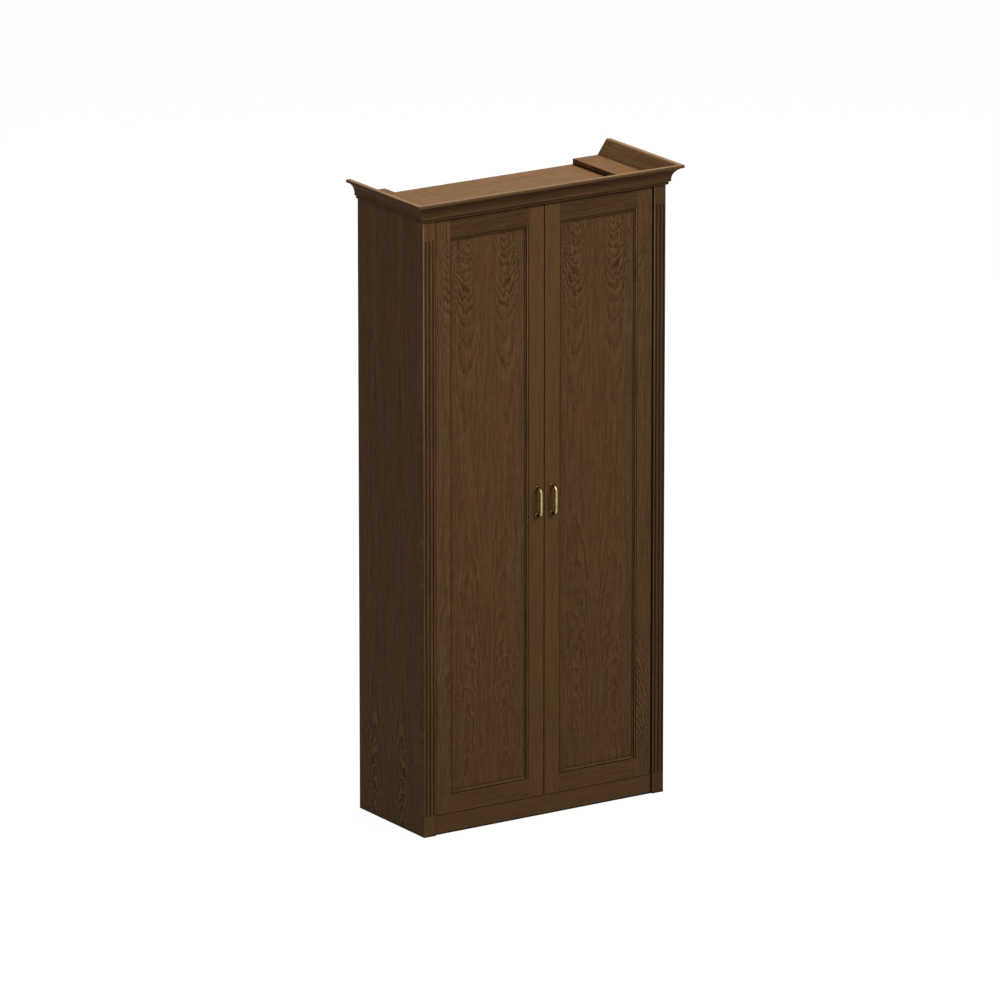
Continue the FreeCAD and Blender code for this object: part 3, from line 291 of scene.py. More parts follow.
def veneer(name, grain, seed, seam=0.0, leaf=0.14, head=Arches(), foot=None, painted_highlight=None, **shown):
    """Stained oak in book-matched leaves: each leaf mirrors its neighbour at the seams. The painted
    highlight takes the graph and the place's axes, and says how strongly a painted highlight lightens
    it."""
    look = Look(**shown)
    g = Graph(name)
    axes = g.split(g.add("ShaderNodeTexCoord").outputs["Object"])
    across, along, through = (axes[index] for index in GRAIN_AXES[grain])
    folded = g.math("PINGPONG", g.math("SUBTRACT", across, seam), leaf)
    late, early = growth_rings(g, folded, along, leaf, head, seed, look.ragged)
    if foot:
        low = growth_rings(g, folded, along, leaf, foot.arches, seed + FOOT_SEED, look.ragged)
        late, early = above_foot(g, along, foot, (late, early), low)
    fibre = g.grain(across, along, g.product(through, FIBRE_SCALE[0]), FIBRE_SCALE, roughness=0.65)
    open_pores = g.grain(across, along, g.product(through, PORE_SCALE[0]), PORE_SCALE, detail=1.0)
    pore = g.spread(g.sum(open_pores, g.product(late, PORES_IN_LATE_WOOD)), *PORE_BAND)

    plain = plain_grain(g, (across, along, through), fibre, seed, look)
    figured = g.mix(g.product(early, look.pale * look.figure), plain, PALE_LINE)
    figured = g.mix(g.product(late, LATE_WOOD_SHARE * look.figure), figured, DARK_LINE)
    pore_share = (PORE_SHARE + PORE_SHARE_BY_FIGURE * look.figure) * look.streaky
    pored = g.mix(g.product(pore, pore_share), figured, PORE_BROWN)
    # Painted shade in the hollows
    shaded_worn_and_highlighted = g.mix(g.product(hollow_shade(g), look.shade_in_hollows), pored, HOLLOW_SHADE_COLOUR)
    # Worn edges, which also carry a painted highlight
    shaded_worn_and_highlighted = g.mix(g.product(edge_wear_and_highlight(g, fibre), look.worn), shaded_worn_and_highlighted, WORN_EDGE_AND_HIGHLIGHT)
    # Painted highlights on chosen arrises, beads and rims
    if painted_highlight:
        share = g.product(painted_highlight(g, axes), g.spread(fibre, 0.30, 0.60, 0.5, 1.0))
        shaded_worn_and_highlighted = g.mix(share, shaded_worn_and_highlighted, WORN_EDGE_AND_HIGHLIGHT)
    colour = g.add("ShaderNodeHueSaturation",
                   {"Saturation": look.rich, "Value": look.tone, "Color": shaded_worn_and_highlighted}).outputs[0]

    roughness = g.sum(g.spread(fibre, 0.2, 0.8, *ROUGHNESS), g.product(pore, PORE_ROUGHNESS))
    grooves = g.sum(g.product(pore, -1.0), g.product(fibre, -FIBRE_RELIEF_SHARE))
    return g.finish(Base_Color=colour, Roughness=roughness, Specular_IOR_Level=VENEER_GLOSS,
                    Normal=g.bump(grooves, GRAIN_RELIEF, GRAIN_STRENGTH))


def plain_grain(g, axes, fibre, seed, look):
    """The wood between the rings: a cloudy ground with dark streaks, pale flecks and fine fibres."""
    across, along, through = axes
    depth = g.sum(through, seed)
    mottle = g.grain(across, along, seed + MOTTLE_SEED, MOTTLE_SCALE)
    streak = g.grain(across, along, depth, STREAK_SCALE, detail=3.0, roughness=0.6)
    fleck = g.grain(across, along, depth, FLECK_SCALE, detail=1.0)
    reddened = g.spread(mottle, *MOTTLE_BAND, look.red - RED_DRIFT, look.red + RED_DRIFT)
    ground = g.mix(reddened, OLIVE_BROWN, RED_BROWN)
    streaked = g.mix(g.spread(streak, *STREAK_BAND, 0.0, STREAK_SHARE * look.streaky), ground, DARK_LINE)
    flecked = g.mix(g.spread(fleck, *FLECK_BAND, 0.0, FLECK_SHARE * look.streaky), streaked, PALE_FLECK)
    return g.mix(g.spread(fibre, *FIBRE_BAND, 0.0, FIBRE_SHARE * look.streaky), flecked, DARK_LINE)


def growth_rings(g, folded, along, leaf, arches, seed, raggedness):
    """Where each growth ring is dark late wood and pale early wood, in ragged nested arches."""
    drift = g.grain(folded, along, seed, DRIFT_SCALE, detail=1.0)
    ragged = g.grain(folded, along, seed, RAGGED_SCALE, detail=3.0, roughness=0.65)
    off = g.sum(g.shift(drift, DRIFT), g.shift(ragged, RAGGED * 0.5 * raggedness))
    column = g.math("ABSOLUTE", g.math("SUBTRACT", g.sum(folded, off), leaf / 2))
    radius, steep = arch_radius(g, column, along, arches, g.shift(ragged, RAGGED * raggedness))
    ring = g.math("FRACT", g.sum(g.product(radius, 1 / RING_PITCH), g.product(drift, 1.5)))
    begin = g.spread(steep, 0.0, 0.8, *LATE_WOOD_BEGIN, smooth=False)
    late_wood = g.product(g.spread(ring, begin, LATE_WOOD_FULL), g.spread(ring, *LATE_WOOD_FALL))
    early_wood = g.product(g.spread(ring, *EARLY_WOOD_RISE), g.spread(ring, *EARLY_WOOD_FALL))
    clear = ring_clearness(g, folded, along, column, steep, leaf, seed)
    return g.product(late_wood, clear), g.product(early_wood, clear)


def arch_radius(g, column, along, arches, wander):
    """How far out in the log a place lies, which gives the arches their shape, and how steeply the
    rings still cross the board there: 1 where the arches start, and 0 where they have run out."""
    widened = g.sum(g.math("POWER", g.product(column, 1 / arches.flank), 2.0), 1.0)
    flank = g.product(column, widened)
    run = g.math("MAXIMUM", g.product(g.math("SUBTRACT", along, arches.start), arches.way), 0.0)
    risen = g.math("TANH", g.product(run, 1 / arches.run))
    steep = g.math("SUBTRACT", 1.0, g.product(risen, risen))
    level = g.sum(g.product(risen, arches.spread), g.product(run, TAPER))
    height = g.math("MAXIMUM", g.sum(level, g.product(wander, g.sum(steep, 0.2))), 0.0)
    powers = g.sum(g.math("POWER", flank, arches.point), g.math("POWER", height, arches.point))
    return g.math("POWER", powers, 1 / arches.point), steep


def ring_clearness(g, folded, along, column, steep, leaf, seed):
    """Rings are faint in patches, near a leaf's edges and where the arches have run out."""
    patch = g.grain(folded, along, seed + PATCH_SEED, PATCH_SCALE, detail=3.0)
    patchy = g.spread(patch, *PATCH_BAND, 0.25, 1.0)
    inside = g.spread(column, leaf * 0.5, leaf * 0.3, 0.4, 1.0)
    arched = g.spread(steep, 0.0, 0.7, 0.35, 1.0)
    return g.product(g.product(patchy, inside), arched)


def above_foot(g, along, foot, rings, foot_rings):
    """The rings above the foot's reach, and those of the foot below it."""
    whole = foot.arches.start + foot.reach
    high = g.spread(along, whole, whole + FOOT_FADE)
    low = g.spread(along, whole + FOOT_FADE, whole, 0.0, foot.share)
    late = g.sum(g.product(rings[0], high), g.product(foot_rings[0], low))
    early = g.sum(g.product(rings[1], high), g.product(foot_rings[1], g.product(low, 2.0)))
    return late, early


def hollow_shade(g):
    """How closed in a place is, for the painted shade that darkens grooves, quirks and gaps."""
    opened = g.add("ShaderNodeAmbientOcclusion", {"Distance": HOLLOW_REACH}, samples=8).outputs["AO"]
    return g.spread(opened, *HOLLOW_BAND)


def edge_wear_and_highlight(g, breakup):
    """How far a place is worn and lit by a painted highlight: where the surface turns within the reach
    of an edge.
    """
    flat = g.add("ShaderNodeNewGeometry").outputs["Normal"]
    soft = g.add("ShaderNodeBevel", {"Radius": EDGE_REACH}, samples=4).outputs[0]
    alike = g.add("ShaderNodeVectorMath", {0: flat, 1: soft}, operation="DOT_PRODUCT").outputs["Value"]
    turned = g.spread(alike, *EDGE_BAND)
    return g.product(turned, g.spread(breakup, *BREAKUP_BAND))


# Painted highlights on arrises, beads and the rim: levels, widths and depths in metres, and shares of
# the full highlight

HIGHLIGHT_FOOT = 0.95
HIGHLIGHT_HEAD = 1.75
ARRIS_WIDTH = 0.0036
ARRIS_LEAST = 0.12
BEAD_CROWN = (0.0014, 0.0006)
BEAD_LEAST = 0.6
RIM_DEPTH = (0.006, 0.0035)
RIM_SHARE = 0.32


def highlight_level(g, axes, least):
    """The painted highlight falls to the least share from shoulder height down."""
    return g.spread(axes[2], HIGHLIGHT_FOOT, HIGHLIGHT_HEAD, least, 1.0)


def arris_highlight(strip):
    """Paints a highlight on the upright left arris of a strip's front."""
    edge, face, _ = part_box(strip)[0]

    def share(g, axes):
        inset = g.math("ABSOLUTE", g.math("SUBTRACT", axes[0], edge))
        near = g.spread(inset, ARRIS_WIDTH, ARRIS_WIDTH * 0.4)
        front = g.spread(axes[1], face + ARRIS_WIDTH, face + ARRIS_WIDTH * 0.4)
        return g.product(g.product(near, front), highlight_level(g, axes, ARRIS_LEAST))
    return share


def bead_highlight(crown, beyond):
    """Paints a highlight on the crown of the upright bead past the given X. The crown is the bead's
    lowest Y.
    """
    def share(g, axes):
        high = g.spread(axes[1], crown + BEAD_CROWN[0], crown + BEAD_CROWN[1])
        here = g.product(high, g.math("GREATER_THAN", axes[0], beyond))
        return g.product(here, highlight_level(g, axes, BEAD_LEAST))
    return share


def rim_highlight(g, axes):
    """Paints a highlight along the top of the cornice's rim, and the edge that it turns over."""
    top = CABINET_HIGH[2]
    return g.product(g.spread(axes[2], top - RIM_DEPTH[0], top - RIM_DEPTH[1]), RIM_SHARE)


# Boards inside

def inner_board(name, grain, seed):
    """Dark laminated board inside the cabinet: a plainer printed grain under a fine texture."""
    return veneer(name, grain, seed, seam=0.07, leaf=0.31, figure=0.45, tone=1.04, red=0.35)


def hardboard():
    """Brown fibre board with a faint upright streak."""
    g = Graph("back_hardboard")
    place = g.add("ShaderNodeTexCoord").outputs["Object"]
    x, y, z = g.split(place)
    streak = g.noise(g.join(g.product(x, 160.0), g.product(y, 160.0), g.product(z, 4.0)), detail=3.0)
    fleck = g.noise(place, scale=900.0, detail=2.0)
    colour = g.mix(g.spread(streak, 0.3, 0.7), linear(92, 70, 48), linear(74, 54, 37))
    flecked = g.mix(g.spread(fleck, 0.55, 0.72, 0.0, 0.35), colour, linear(52, 38, 27))
    return g.finish(Base_Color=flecked, Roughness=g.spread(fleck, 0.2, 0.8, 0.55, 0.72),
                    Normal=g.bump(fleck, 0.00008, 0.6))


# Metals and plastics

BRASS_BRIGHT = linear(188, 172, 120)
BRASS_DULL = linear(140, 122, 70)
# Tarnish near the door, and painted shade on the handle's sides and underside
BRASS_TARNISH_AND_SHADE = linear(112, 96, 50)
# Hands keep a handle bright beyond these distances in front of the door
HANDLED = (0.004, 0.020)
BRUSH_SCALE = 2600.0
BRUSH_SCALE_ALONG = 90.0


def metal(name, bright, dull, roughness, brushed, tarnish_and_shade=None):
    """Worn metal: fine brushing along one axis and cloudy dulling. Where a tarnish colour is given, it
    darkens the metal near the door as tarnish, and the sides and underside as painted shade, leaving a
    painted highlight on the front and top."""
    g = Graph(name)
    coordinates = g.add("ShaderNodeTexCoord").outputs
    place = coordinates["Object"]
    axes = g.split(place)
    scales = [BRUSH_SCALE_ALONG if index == brushed else BRUSH_SCALE for index in range(3)]
    brush = g.noise(g.join(*(g.product(axis, scale) for axis, scale in zip(axes, scales))), detail=1.0)
    cloud = g.noise(place, scale=60.0, detail=3.0)
    colour = g.mix(g.spread(cloud, 0.35, 0.7, 0.0, 0.75), bright, dull)
    if tarnish_and_shade:
        # Painted highlight on the front and top, painted shade on the sides and underside, tarnish near
        # the door
        colour = g.mix(lit_and_handled(g, coordinates["Normal"], axes[1]), tarnish_and_shade, colour)
    rough = g.sum(g.spread(cloud, 0.3, 0.7, *roughness), g.spread(brush, 0.2, 0.8, -0.04, 0.06))
    return g.finish(Base_Color=colour, Roughness=rough, Metallic=1.0,
                    Normal=g.bump(brush, 0.00002, 0.35))


def lit_and_handled(g, normal, depth):
    """How bright a handle stays: a painted highlight on its front and top against painted shade on its
    sides and underside, and tarnish near the door.
    """
    way = g.split(normal)
    lit_share = g.math("MAXIMUM", g.spread(way[1], -0.35, -0.9), g.spread(way[2], 0.3, 0.8))
    return g.product(lit_share, g.spread(depth, DOOR_FACE - HANDLED[0], DOOR_FACE - HANDLED[1]))


def plastic(name, dark, pale, roughness):
    """Moulded plastic with a fine grain and a faint cloud."""
    g = Graph(name)
    place = g.add("ShaderNodeTexCoord").outputs["Object"]
    grain = g.noise(place, scale=1800.0, detail=2.0)
    cloud = g.noise(place, scale=45.0, detail=2.0)
    return g.finish(Base_Color=g.mix(g.spread(cloud, 0.3, 0.7), dark, pale),
                    Roughness=g.spread(cloud, 0.3, 0.7, *roughness),
                    Normal=g.bump(grain, 0.00006, 0.5))


# Which board takes which veneer

DOOR_SEED = 11.0
DOOR_LEAF = 0.139
DOOR_ARCHES = Arches(start=PANEL_HEAD, spread=0.15)
FOOT_DROP = 0.03
PANEL_SEAM_OFFSET = -0.008
PANEL_TONE = {"left": 1.0, "right": 0.94}
BEAD_INSET = 0.012
STILE_LOOK = {
    "left": {"figure": 0.8, "ragged": 1.0, "tone": 1.06},
    "right": {"figure": 0.6, "ragged": 0.48, "tone": 0.95},
}
# A leaf's edge left of the left stile, and a leaf's middle beside the right stile
LEFT_STILE_SEAM = 0.064
RIGHT_STILE_MIDDLE = 0.018


def faint_foot(level):
    return Foot(Arches(level, 1, 0.15, run=0.80, flank=0.11), share=0.42, reach=0.85)


def bold_foot(level):
    """The foot of the right hinge stile, where the photo shows strong slanting rings."""
    return Foot(Arches(level, 1, 0.46, run=1.20, flank=0.14, point=1.2), share=1.45, reach=0.25)


def door_veneers(name):
    """Grain of one door. The panel carries two mirrored leaves of nested arches."""
    low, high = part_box(f"{name}_door_panel")
    foot = faint_foot(low[2] - FOOT_DROP)
    seam = (low[0] + high[0]) / 2 + PANEL_SEAM_OFFSET
    # A painted highlight on the crown of the bead beside the right-hand stile
    bead = bead_highlight(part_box(f"{name}_door_moulding")[0][1], high[0] - BEAD_INSET)
    stile_seam = low[0] - LEFT_STILE_SEAM
    stile_foot = foot
    if name == "right":
        stile_seam = high[0] - RIGHT_STILE_MIDDLE - DOOR_LEAF / 2
        stile_foot = bold_foot(low[2] - FOOT_DROP)
    return {
        f"{name}_door_panel": veneer(
            f"{name}_panel_veneer", "upright", DOOR_SEED, seam, DOOR_LEAF, DOOR_ARCHES, foot,
            ragged=1.2, tone=PANEL_TONE[name]),
        f"{name}_door_moulding": veneer(
            f"{name}_moulding_veneer", "upright", DOOR_SEED + 1.0, painted_highlight=bead,
            figure=0.4, worn=0.3, tone=0.96),
        f"{name}_door_hinge_stile": veneer(
            f"{name}_hinge_stile_veneer", "upright", DOOR_SEED + 2.0, stile_seam, DOOR_LEAF,
            DOOR_ARCHES, stile_foot, red=0.35, **STILE_LOOK[name]),
        f"{name}_door_meeting_stile": veneer(
            f"{name}_meeting_stile_veneer", "upright", DOOR_SEED + 3.0,
            figure=0.1, streaky=0.6, red=0.38, tone=0.98),
        # The top rail's low tone paints the shadow that the cornice casts on it
        f"{name}_door_top_rail": veneer(
            f"{name}_top_rail_veneer", "across", DOOR_SEED + 4.0, figure=0.35, tone=0.70),
        f"{name}_door_bottom_rail": veneer(
            f"{name}_bottom_rail_veneer", "across", DOOR_SEED + 5.0,
            figure=0.2, streaky=0.7, red=0.38, tone=0.93),
    }


SIDE_SEAM = 0.042
SIDE_LEAF = 0.160
SIDE_ARCHES = Arches(start=-0.02, way=1, spread=0.085, flank=0.20)
# The pilasters' shares of edge wear with its painted highlight, and of painted shade in hollows
STRIP_SHADE_AND_WEAR = {"worn": 0.1, "shade_in_hollows": 0.6}
TOP_SEAM = 0.05
TOP_LEAF = 0.30
TOP_RICHNESS = 1.07


def side_veneer(name, seed):
    return veneer(name, "upright side", seed, SIDE_SEAM, SIDE_LEAF, SIDE_ARCHES,
                  figure=1.15, ragged=0.95, pale=0.6, tone=1.01)


def body_veneers():
    return {
        "left_side_panel": side_veneer("left_side_veneer", 31.0),
        "right_side_panel": side_veneer("right_side_veneer", 37.0),
        # The pilasters' left arrises take a painted highlight
        "left_pilaster": veneer(
            "left_pilaster_veneer", "upright", 41.0, painted_highlight=arris_highlight("left_pilaster"),
            figure=0.3, red=0.4, tone=1.05, **STRIP_SHADE_AND_WEAR),
        "right_pilaster": veneer(
            "right_pilaster_veneer", "upright", 43.0, painted_highlight=arris_highlight("right_pilaster"),
            figure=0.15, streaky=0.6, red=0.45, tone=0.71, **STRIP_SHADE_AND_WEAR),
        "plinth_board": veneer(
            "plinth_veneer", "across", 47.0, figure=0.1, streaky=0.5, red=0.3, tone=0.92),
    }


def crown_veneers():
    return {
        # The cornices take a painted highlight along the top of the rim
        # The cornices' lowered tones paint the shade in the cove under the rim
        "cornice_front": veneer(
            "cornice_front_veneer", "across", 53.0, painted_highlight=rim_highlight, figure=0.25, tone=0.79),
        "cornice_left": veneer(
            "cornice_left_veneer", "side back to front", 59.0, painted_highlight=rim_highlight,
            figure=0.25, tone=0.85),
        "cornice_right": veneer(
            "cornice_right_veneer", "side back to front", 61.0, painted_highlight=rim_highlight,
            figure=0.25, red=0.6, tone=0.93),
        "ledger_front": veneer(
            "ledger_front_veneer", "across top", 67.0, figure=0.4, rich=TOP_RICHNESS),
        "ledger_left": veneer(
            "ledger_left_veneer", "back to front", 71.0, figure=0.3, rich=TOP_RICHNESS),
        "ledger_right": veneer(
            "ledger_right_veneer", "back to front", 73.0, figure=0.3, tone=0.90, rich=TOP_RICHNESS),
        "top_panel": veneer(
            "top_veneer", "across top", 79.0, TOP_SEAM, TOP_LEAF, figure=0.4, rich=TOP_RICHNESS),
    }


def inner_boards():
    return {
        "bottom_panel": inner_board("bottom_board", "across top", 83.0),
        "shelf_1": inner_board("first_shelf_board", "across top", 89.0),
        "fixed_shelf": inner_board("fixed_shelf_board", "across top", 97.0),
        "shelf_3": inner_board("third_shelf_board", "across top", 101.0),
        "shelf_4": inner_board("fourth_shelf_board", "across top", 103.0),
        "plinth_rear_rail": inner_board("rear_rail_board", "across", 107.0),
        "plinth_cross_rail": inner_board("cross_rail_board", "back to front", 109.0),
        "left_hinge_blocks": inner_board("left_block_board", "upright side", 113.0),
        "right_hinge_blocks": inner_board("right_block_board", "upright side", 127.0),
        "back_panel": hardboard(),
    }


def fittings():
    brass = metal("satin_brass", BRASS_BRIGHT, BRASS_DULL, (0.22, 0.36), 2, BRASS_TARNISH_AND_SHADE)
    nickel = metal("nickel_plate", linear(205, 203, 196), linear(160, 158, 152), (0.18, 0.34), 1)
    steel = metal("zinc_plated_steel", linear(196, 196, 192), linear(150, 152, 155), (0.25, 0.42), 2)
    zinc = metal("cast_zinc", linear(178, 178, 176), linear(128, 128, 128), (0.35, 0.55), 0)
    black = plastic("black_plastic", linear(26, 26, 27), linear(38, 38, 39), (0.42, 0.58))
    soft = plastic("soft_bumper", linear(150, 146, 138), linear(172, 168, 160), (0.3, 0.5))
    table = {
        "cam_fittings": zinc,
        "connecting_bolts": steel,
        "shelf_supports": nickel,
        "leveller_sockets": black,
        "levelling_feet": black,
        "door_bumpers": soft,
    }
    for name in ("left", "right"):
        table[f"{name}_handle"] = brass
        for kind in ("handle_screws", "hinge_pins", "cup_screws", "plate_screws"):
            table[f"{name}_{kind}"] = steel
        for kind in ("hinge_cups", "hinge_arms", "hinge_plates"):
            table[f"{name}_{kind}"] = nickel
    return table


def dress(table):
    for name, material in table.items():
        slots = frame["nodes"][name].data.materials
        slots.clear()
        slots.append(material)


# Small hardware: the drives of the hinge screws, and the adjusting screws of the hinge arms

HINGE_COUNT = 4
PLATE_HALF_HEIGHT = 0.023
PLATE_SCREW_LEVEL = 0.016
CUP_SCREW_LEVEL = 0.025
ARM_THICKNESS = 0.003

CROSS_REACH = 0.0017
CROSS_HALF = 0.00042
CROSS_RISE = 0.00018
CROSS_TOP_SHARE = 0.88

ADJUSTER_RADIUS = 0.0034
ADJUSTER_RISE = 0.0014
ADJUSTER_SIDES = 28
KNURL_SHARE = 0.96
KNURL_TOP = 0.8
# Shares of the adjuster's radius and of its rise, from its foot to the dish in its top
ADJUSTER_PROFILE = [(1.0, 0.0), (1.0, 0.55), (0.94, 0.85), (0.82, 1.0), (0.62, 1.0), (0.50, 0.72),
                    (0.20, 0.66)]
ADJUSTER_DRIVE_LEVEL = 0.68
# Places of the two adjusting screws on an arm, behind the middle of the mounting plate
ADJUSTERS_BEHIND = (-0.010, 0.012)


def add_loop(build, place, points, level):
    return [build.verts.new(place @ Vector((x, y, level))) for x, y in points]


def join_loops(build, lower, upper):
    count = len(lower)
    for index in range(count):
        after = (index + 1) % count
        build.faces.new((lower[index], lower[after], upper[after], upper[index]))


def add_cross(build, place):
    """A cross drive on a screw's head, drawn as a thin plus with sloped flanks standing on the head; its
    near-black material paints the shade of the recess.
    """
    half, reach = CROSS_HALF, CROSS_REACH
    arm = [(half, -half), (reach, -half), (reach, half)]
    outline = []
    for _ in range(4):
        outline += arm
        arm = [(-y, x) for x, y in arm]
    lower = add_loop(build, place, outline, 0.0)
    inner = [(x * CROSS_TOP_SHARE, y * CROSS_TOP_SHARE) for x, y in outline]
    upper = add_loop(build, place, inner, CROSS_RISE)
    join_loops(build, lower, upper)
    build.faces.new(upper)
    build.faces.new(list(reversed(lower)))


def add_adjuster(build, place):
    """An adjusting screw's head: a knurled edge, a rounded shoulder and a dished top."""
    loops = []
    for share, rise in ADJUSTER_PROFILE:
        ring = []
        for index in range(ADJUSTER_SIDES):
            turn = math.tau * index / ADJUSTER_SIDES
            knurl = KNURL_SHARE if index % 2 and rise < KNURL_TOP else 1.0
            radius = ADJUSTER_RADIUS * share * knurl
            ring.append((radius * math.cos(turn), radius * math.sin(turn)))
        loops.append(add_loop(build, place, ring, ADJUSTER_RISE * rise))
    for lower, upper in zip(loops, loops[1:]):
        join_loops(build, lower, upper)
    build.faces.new(loops[-1])
    build.faces.new(list(reversed(loops[0])))


def facing(place, way):
    """A local frame at a place whose Z axis points the given way."""
    return Matrix.Translation(place) @ Vector(way).to_track_quat("Z", "Y").to_matrix().to_4x4()


def hinge_levels():
    """Heights of the hinges, from the lowest and highest of a door's mounting plates."""
    low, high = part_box("left_hinge_plates")
    step = (high[2] - low[2] - PLATE_HALF_HEIGHT * 2) / (HINGE_COUNT - 1)
    return [low[2] + PLATE_HALF_HEIGHT + step * index for index in range(HINGE_COUNT)]


def screw_levels(offset):
    """Heights of the screws that lie above and below each hinge."""
    return [level + offset * way for level in hinge_levels() for way in (-1, 1)]


def inner_side(node, side):
    """X of a node's side that faces the middle of the cabinet. Side is -1 at the left."""
    low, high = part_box(node)
    return low[0] if side > 0 else high[0]


def adjuster_places(x, middle, inwards):
    return [facing((x, middle + behind, level), inwards)
            for level in hinge_levels() for behind in ADJUSTERS_BEHIND]


def piece(name, places, add, material, body):
    """One piece made of the same small form at every place, riding on a body."""
    build = bmesh.new()
    for place in places:
        add(build, place)
    mesh = bpy.data.meshes.new(name)
    build.to_mesh(mesh)
    build.free()
    mesh.materials.append(material)
    made = bpy.data.objects.new(name, mesh)
    SCENE.collection.objects.link(made)
    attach(made, body)


def hinge_details():
    # Near-black material on the drive crosses paints the shade inside the recessed drives
    recess_shade = plastic("screw_recess_shade", linear(12, 12, 13), linear(22, 22, 23), (0.75, 0.9))
    steel = metal("adjuster_steel", linear(200, 199, 194), linear(150, 150, 148), (0.2, 0.38), 0)
    for side, name in ((-1, "left"), (1, "right")):
        inwards = (-side, 0, 0)
        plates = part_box(f"{name}_hinge_plates")
        middle = (plates[0][1] + plates[1][1]) / 2
        plate_head = inner_side(f"{name}_plate_screws", side)
        plate_crosses = [facing((plate_head, middle, level), inwards)
                         for level in screw_levels(PLATE_SCREW_LEVEL)]
        piece(f"{name}_plate_screw_drives", plate_crosses, add_cross, recess_shade, "carcass")

        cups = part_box(f"{name}_cup_screws")
        cup_crosses = [facing(((cups[0][0] + cups[1][0]) / 2, cups[1][1], level), (0, 1, 0))
                       for level in screw_levels(CUP_SCREW_LEVEL)]
        piece(f"{name}_cup_screw_drives", cup_crosses, add_cross, recess_shade, f"{name}_door")

        arm_face = inner_side(f"{name}_hinge_plates", side) - ARM_THICKNESS * side
        adjusters = adjuster_places(arm_face, middle, inwards)
        piece(f"{name}_hinge_adjusters", adjusters, add_adjuster, steel, "carcass")
        dish = arm_face - ADJUSTER_RISE * ADJUSTER_DRIVE_LEVEL * side
        dished = adjuster_places(dish, middle, inwards)
        piece(f"{name}_adjuster_drives", dished, add_cross, recess_shade, "carcass")


# Stage

WHITE = (1.0, 1.0, 1.0, 1.0)
FLOOR_HALF = 70.0
FLOOR_SHADE = 0.08
FLOOR_GLOW = 0.97
WORLD_LEVEL = 0.13


def floor():
    mesh = bpy.data.meshes.new("floor")
    corners = [(-FLOOR_HALF, -FLOOR_HALF, 0.0), (FLOOR_HALF, -FLOOR_HALF, 0.0),
               (FLOOR_HALF, FLOOR_HALF, 0.0), (-FLOOR_HALF, FLOOR_HALF, 0.0)]
    mesh.from_pydata(corners, [], [(0, 1, 2, 3)])
    plane = bpy.data.objects.new("floor", mesh)
    SCENE.collection.objects.link(plane)
    plane.data.materials.append(floor_material())


def floor_material():
    """White to the camera and in reflections, and still darkened by the cabinet's shadow."""
    g = Graph("pale_floor")
    path = g.add("ShaderNodeLightPath").outputs
    seen = g.math("MAXIMUM", path["Is Camera Ray"], path["Is Glossy Ray"])
    seen = g.math("MAXIMUM", seen, path["Is Transmission Ray"])
    shade = (FLOOR_SHADE, FLOOR_SHADE, FLOOR_SHADE, 1.0)
    g.finish(Base_Color=shade, Roughness=0.9, Specular_IOR_Level=0.0)
    glow = g.add("ShaderNodeEmission", {"Color": WHITE, "Strength": g.product(seen, FLOOR_GLOW)})
    both = g.add("ShaderNodeAddShader", {0: g.shader.outputs[0], 1: glow.outputs[0]})
    g.tree.links.new(both.outputs[0], g.tree.nodes["Material Output"].inputs["Surface"])
    return g.material


def world():
    """White where the camera or a reflection sees it, and a dim fill light for everything else."""
    made = bpy.data.worlds.new("studio")
    made.use_nodes = True
    tree = made.node_tree
    back = tree.nodes["Background"]
    path = tree.nodes.new("ShaderNodeLightPath").outputs
    seen = path["Is Camera Ray"]
    for ray in ("Is Glossy Ray", "Is Transmission Ray"):
        either = tree.nodes.new("ShaderNodeMath")
        either.operation = "MAXIMUM"
        tree.links.new(seen, either.inputs[0])
        tree.links.new(path[ray], either.inputs[1])
        seen = either.outputs[0]
    level = tree.nodes.new("ShaderNodeMapRange")
    level.inputs["To Min"].default_value = WORLD_LEVEL
    level.inputs["To Max"].default_value = 1.0
    tree.links.new(seen, level.inputs["Value"])
    tree.links.new(level.outputs["Result"], back.inputs["Strength"])
    back.inputs["Color"].default_value = WHITE
    SCENE.world = made


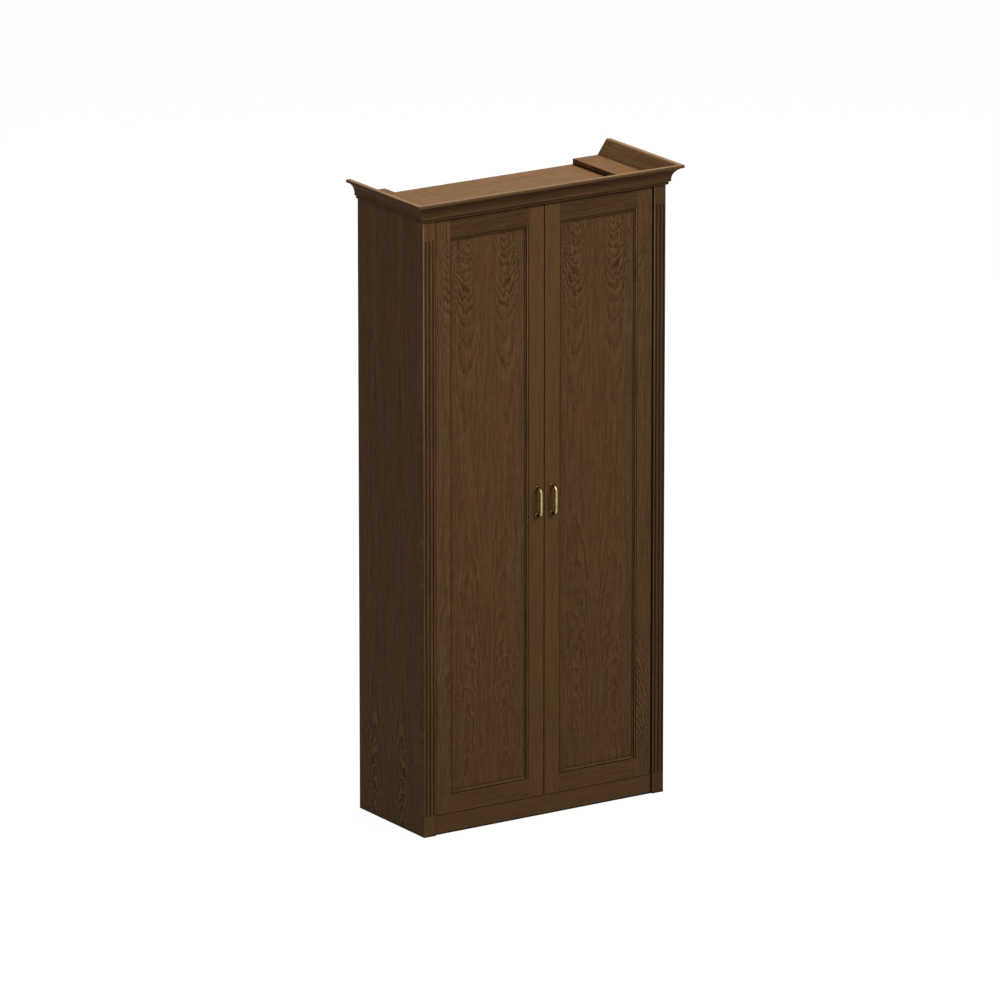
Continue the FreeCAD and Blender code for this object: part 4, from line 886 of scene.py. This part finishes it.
def direction(azimuth, elevation):
    """From the cabinet outwards, in degrees. Azimuth 0 is in front of it, 90 to its right."""
    turn, lift = math.radians(azimuth), math.radians(elevation)
    return Vector((math.sin(turn) * math.cos(lift), -math.cos(turn) * math.cos(lift), math.sin(lift)))


def aim(thing, target, away, distance):
    """Sets a lamp or camera at a distance from its target and turns it to look back."""
    thing.location = target + away * distance
    thing.rotation_euler = (-away).to_track_quat("-Z", "Y").to_euler()
    SCENE.collection.objects.link(thing)


def lamp(name, azimuth, elevation, distance, size, power):
    """A square soft box aimed at the cabinet."""
    data = bpy.data.lights.new(name, "AREA")
    data.shape = "SQUARE"
    data.size = size
    data.energy = power
    light = bpy.data.objects.new(name, data)
    light.visible_camera = False
    aim(light, CABINET_MIDDLE, direction(azimuth, elevation), distance)


def lights():
    lamp("overhead_box", azimuth=120.0, elevation=62.0, distance=7.0, size=4.0, power=600.0)
    lamp("front_box", azimuth=12.0, elevation=40.0, distance=8.0, size=5.0, power=440.0)
    lamp("side_box", azimuth=-95.0, elevation=20.0, distance=8.0, size=5.0, power=92.0)


# Camera, at the photograph's viewing angle

CAMERA_AZIMUTH = -33.02
CAMERA_ELEVATION = 15.8
CAMERA_DISTANCE = 34.33
CAMERA_AIM = Vector((-0.0463, 0.0215, 1.0164))
CAMERA_CLIP = (0.5, 300.0)
FOCAL_SHARE = 10.683
SENSOR = 36.0


def camera():
    data = bpy.data.cameras.new("camera")
    data.sensor_width = SENSOR
    data.lens = FOCAL_SHARE * SENSOR
    data.clip_start, data.clip_end = CAMERA_CLIP
    eye = bpy.data.objects.new("camera", data)
    aim(eye, CAMERA_AIM, direction(CAMERA_AZIMUTH, CAMERA_ELEVATION), CAMERA_DISTANCE)
    SCENE.camera = eye


def main():
    SCENE.view_settings.view_transform = "Standard"
    for table in (body_veneers(), crown_veneers(), inner_boards(),
                  door_veneers("left"), door_veneers("right"), fittings()):
        dress(table)
    hinge_details()
    floor()
    world()
    lights()
    camera()


main()
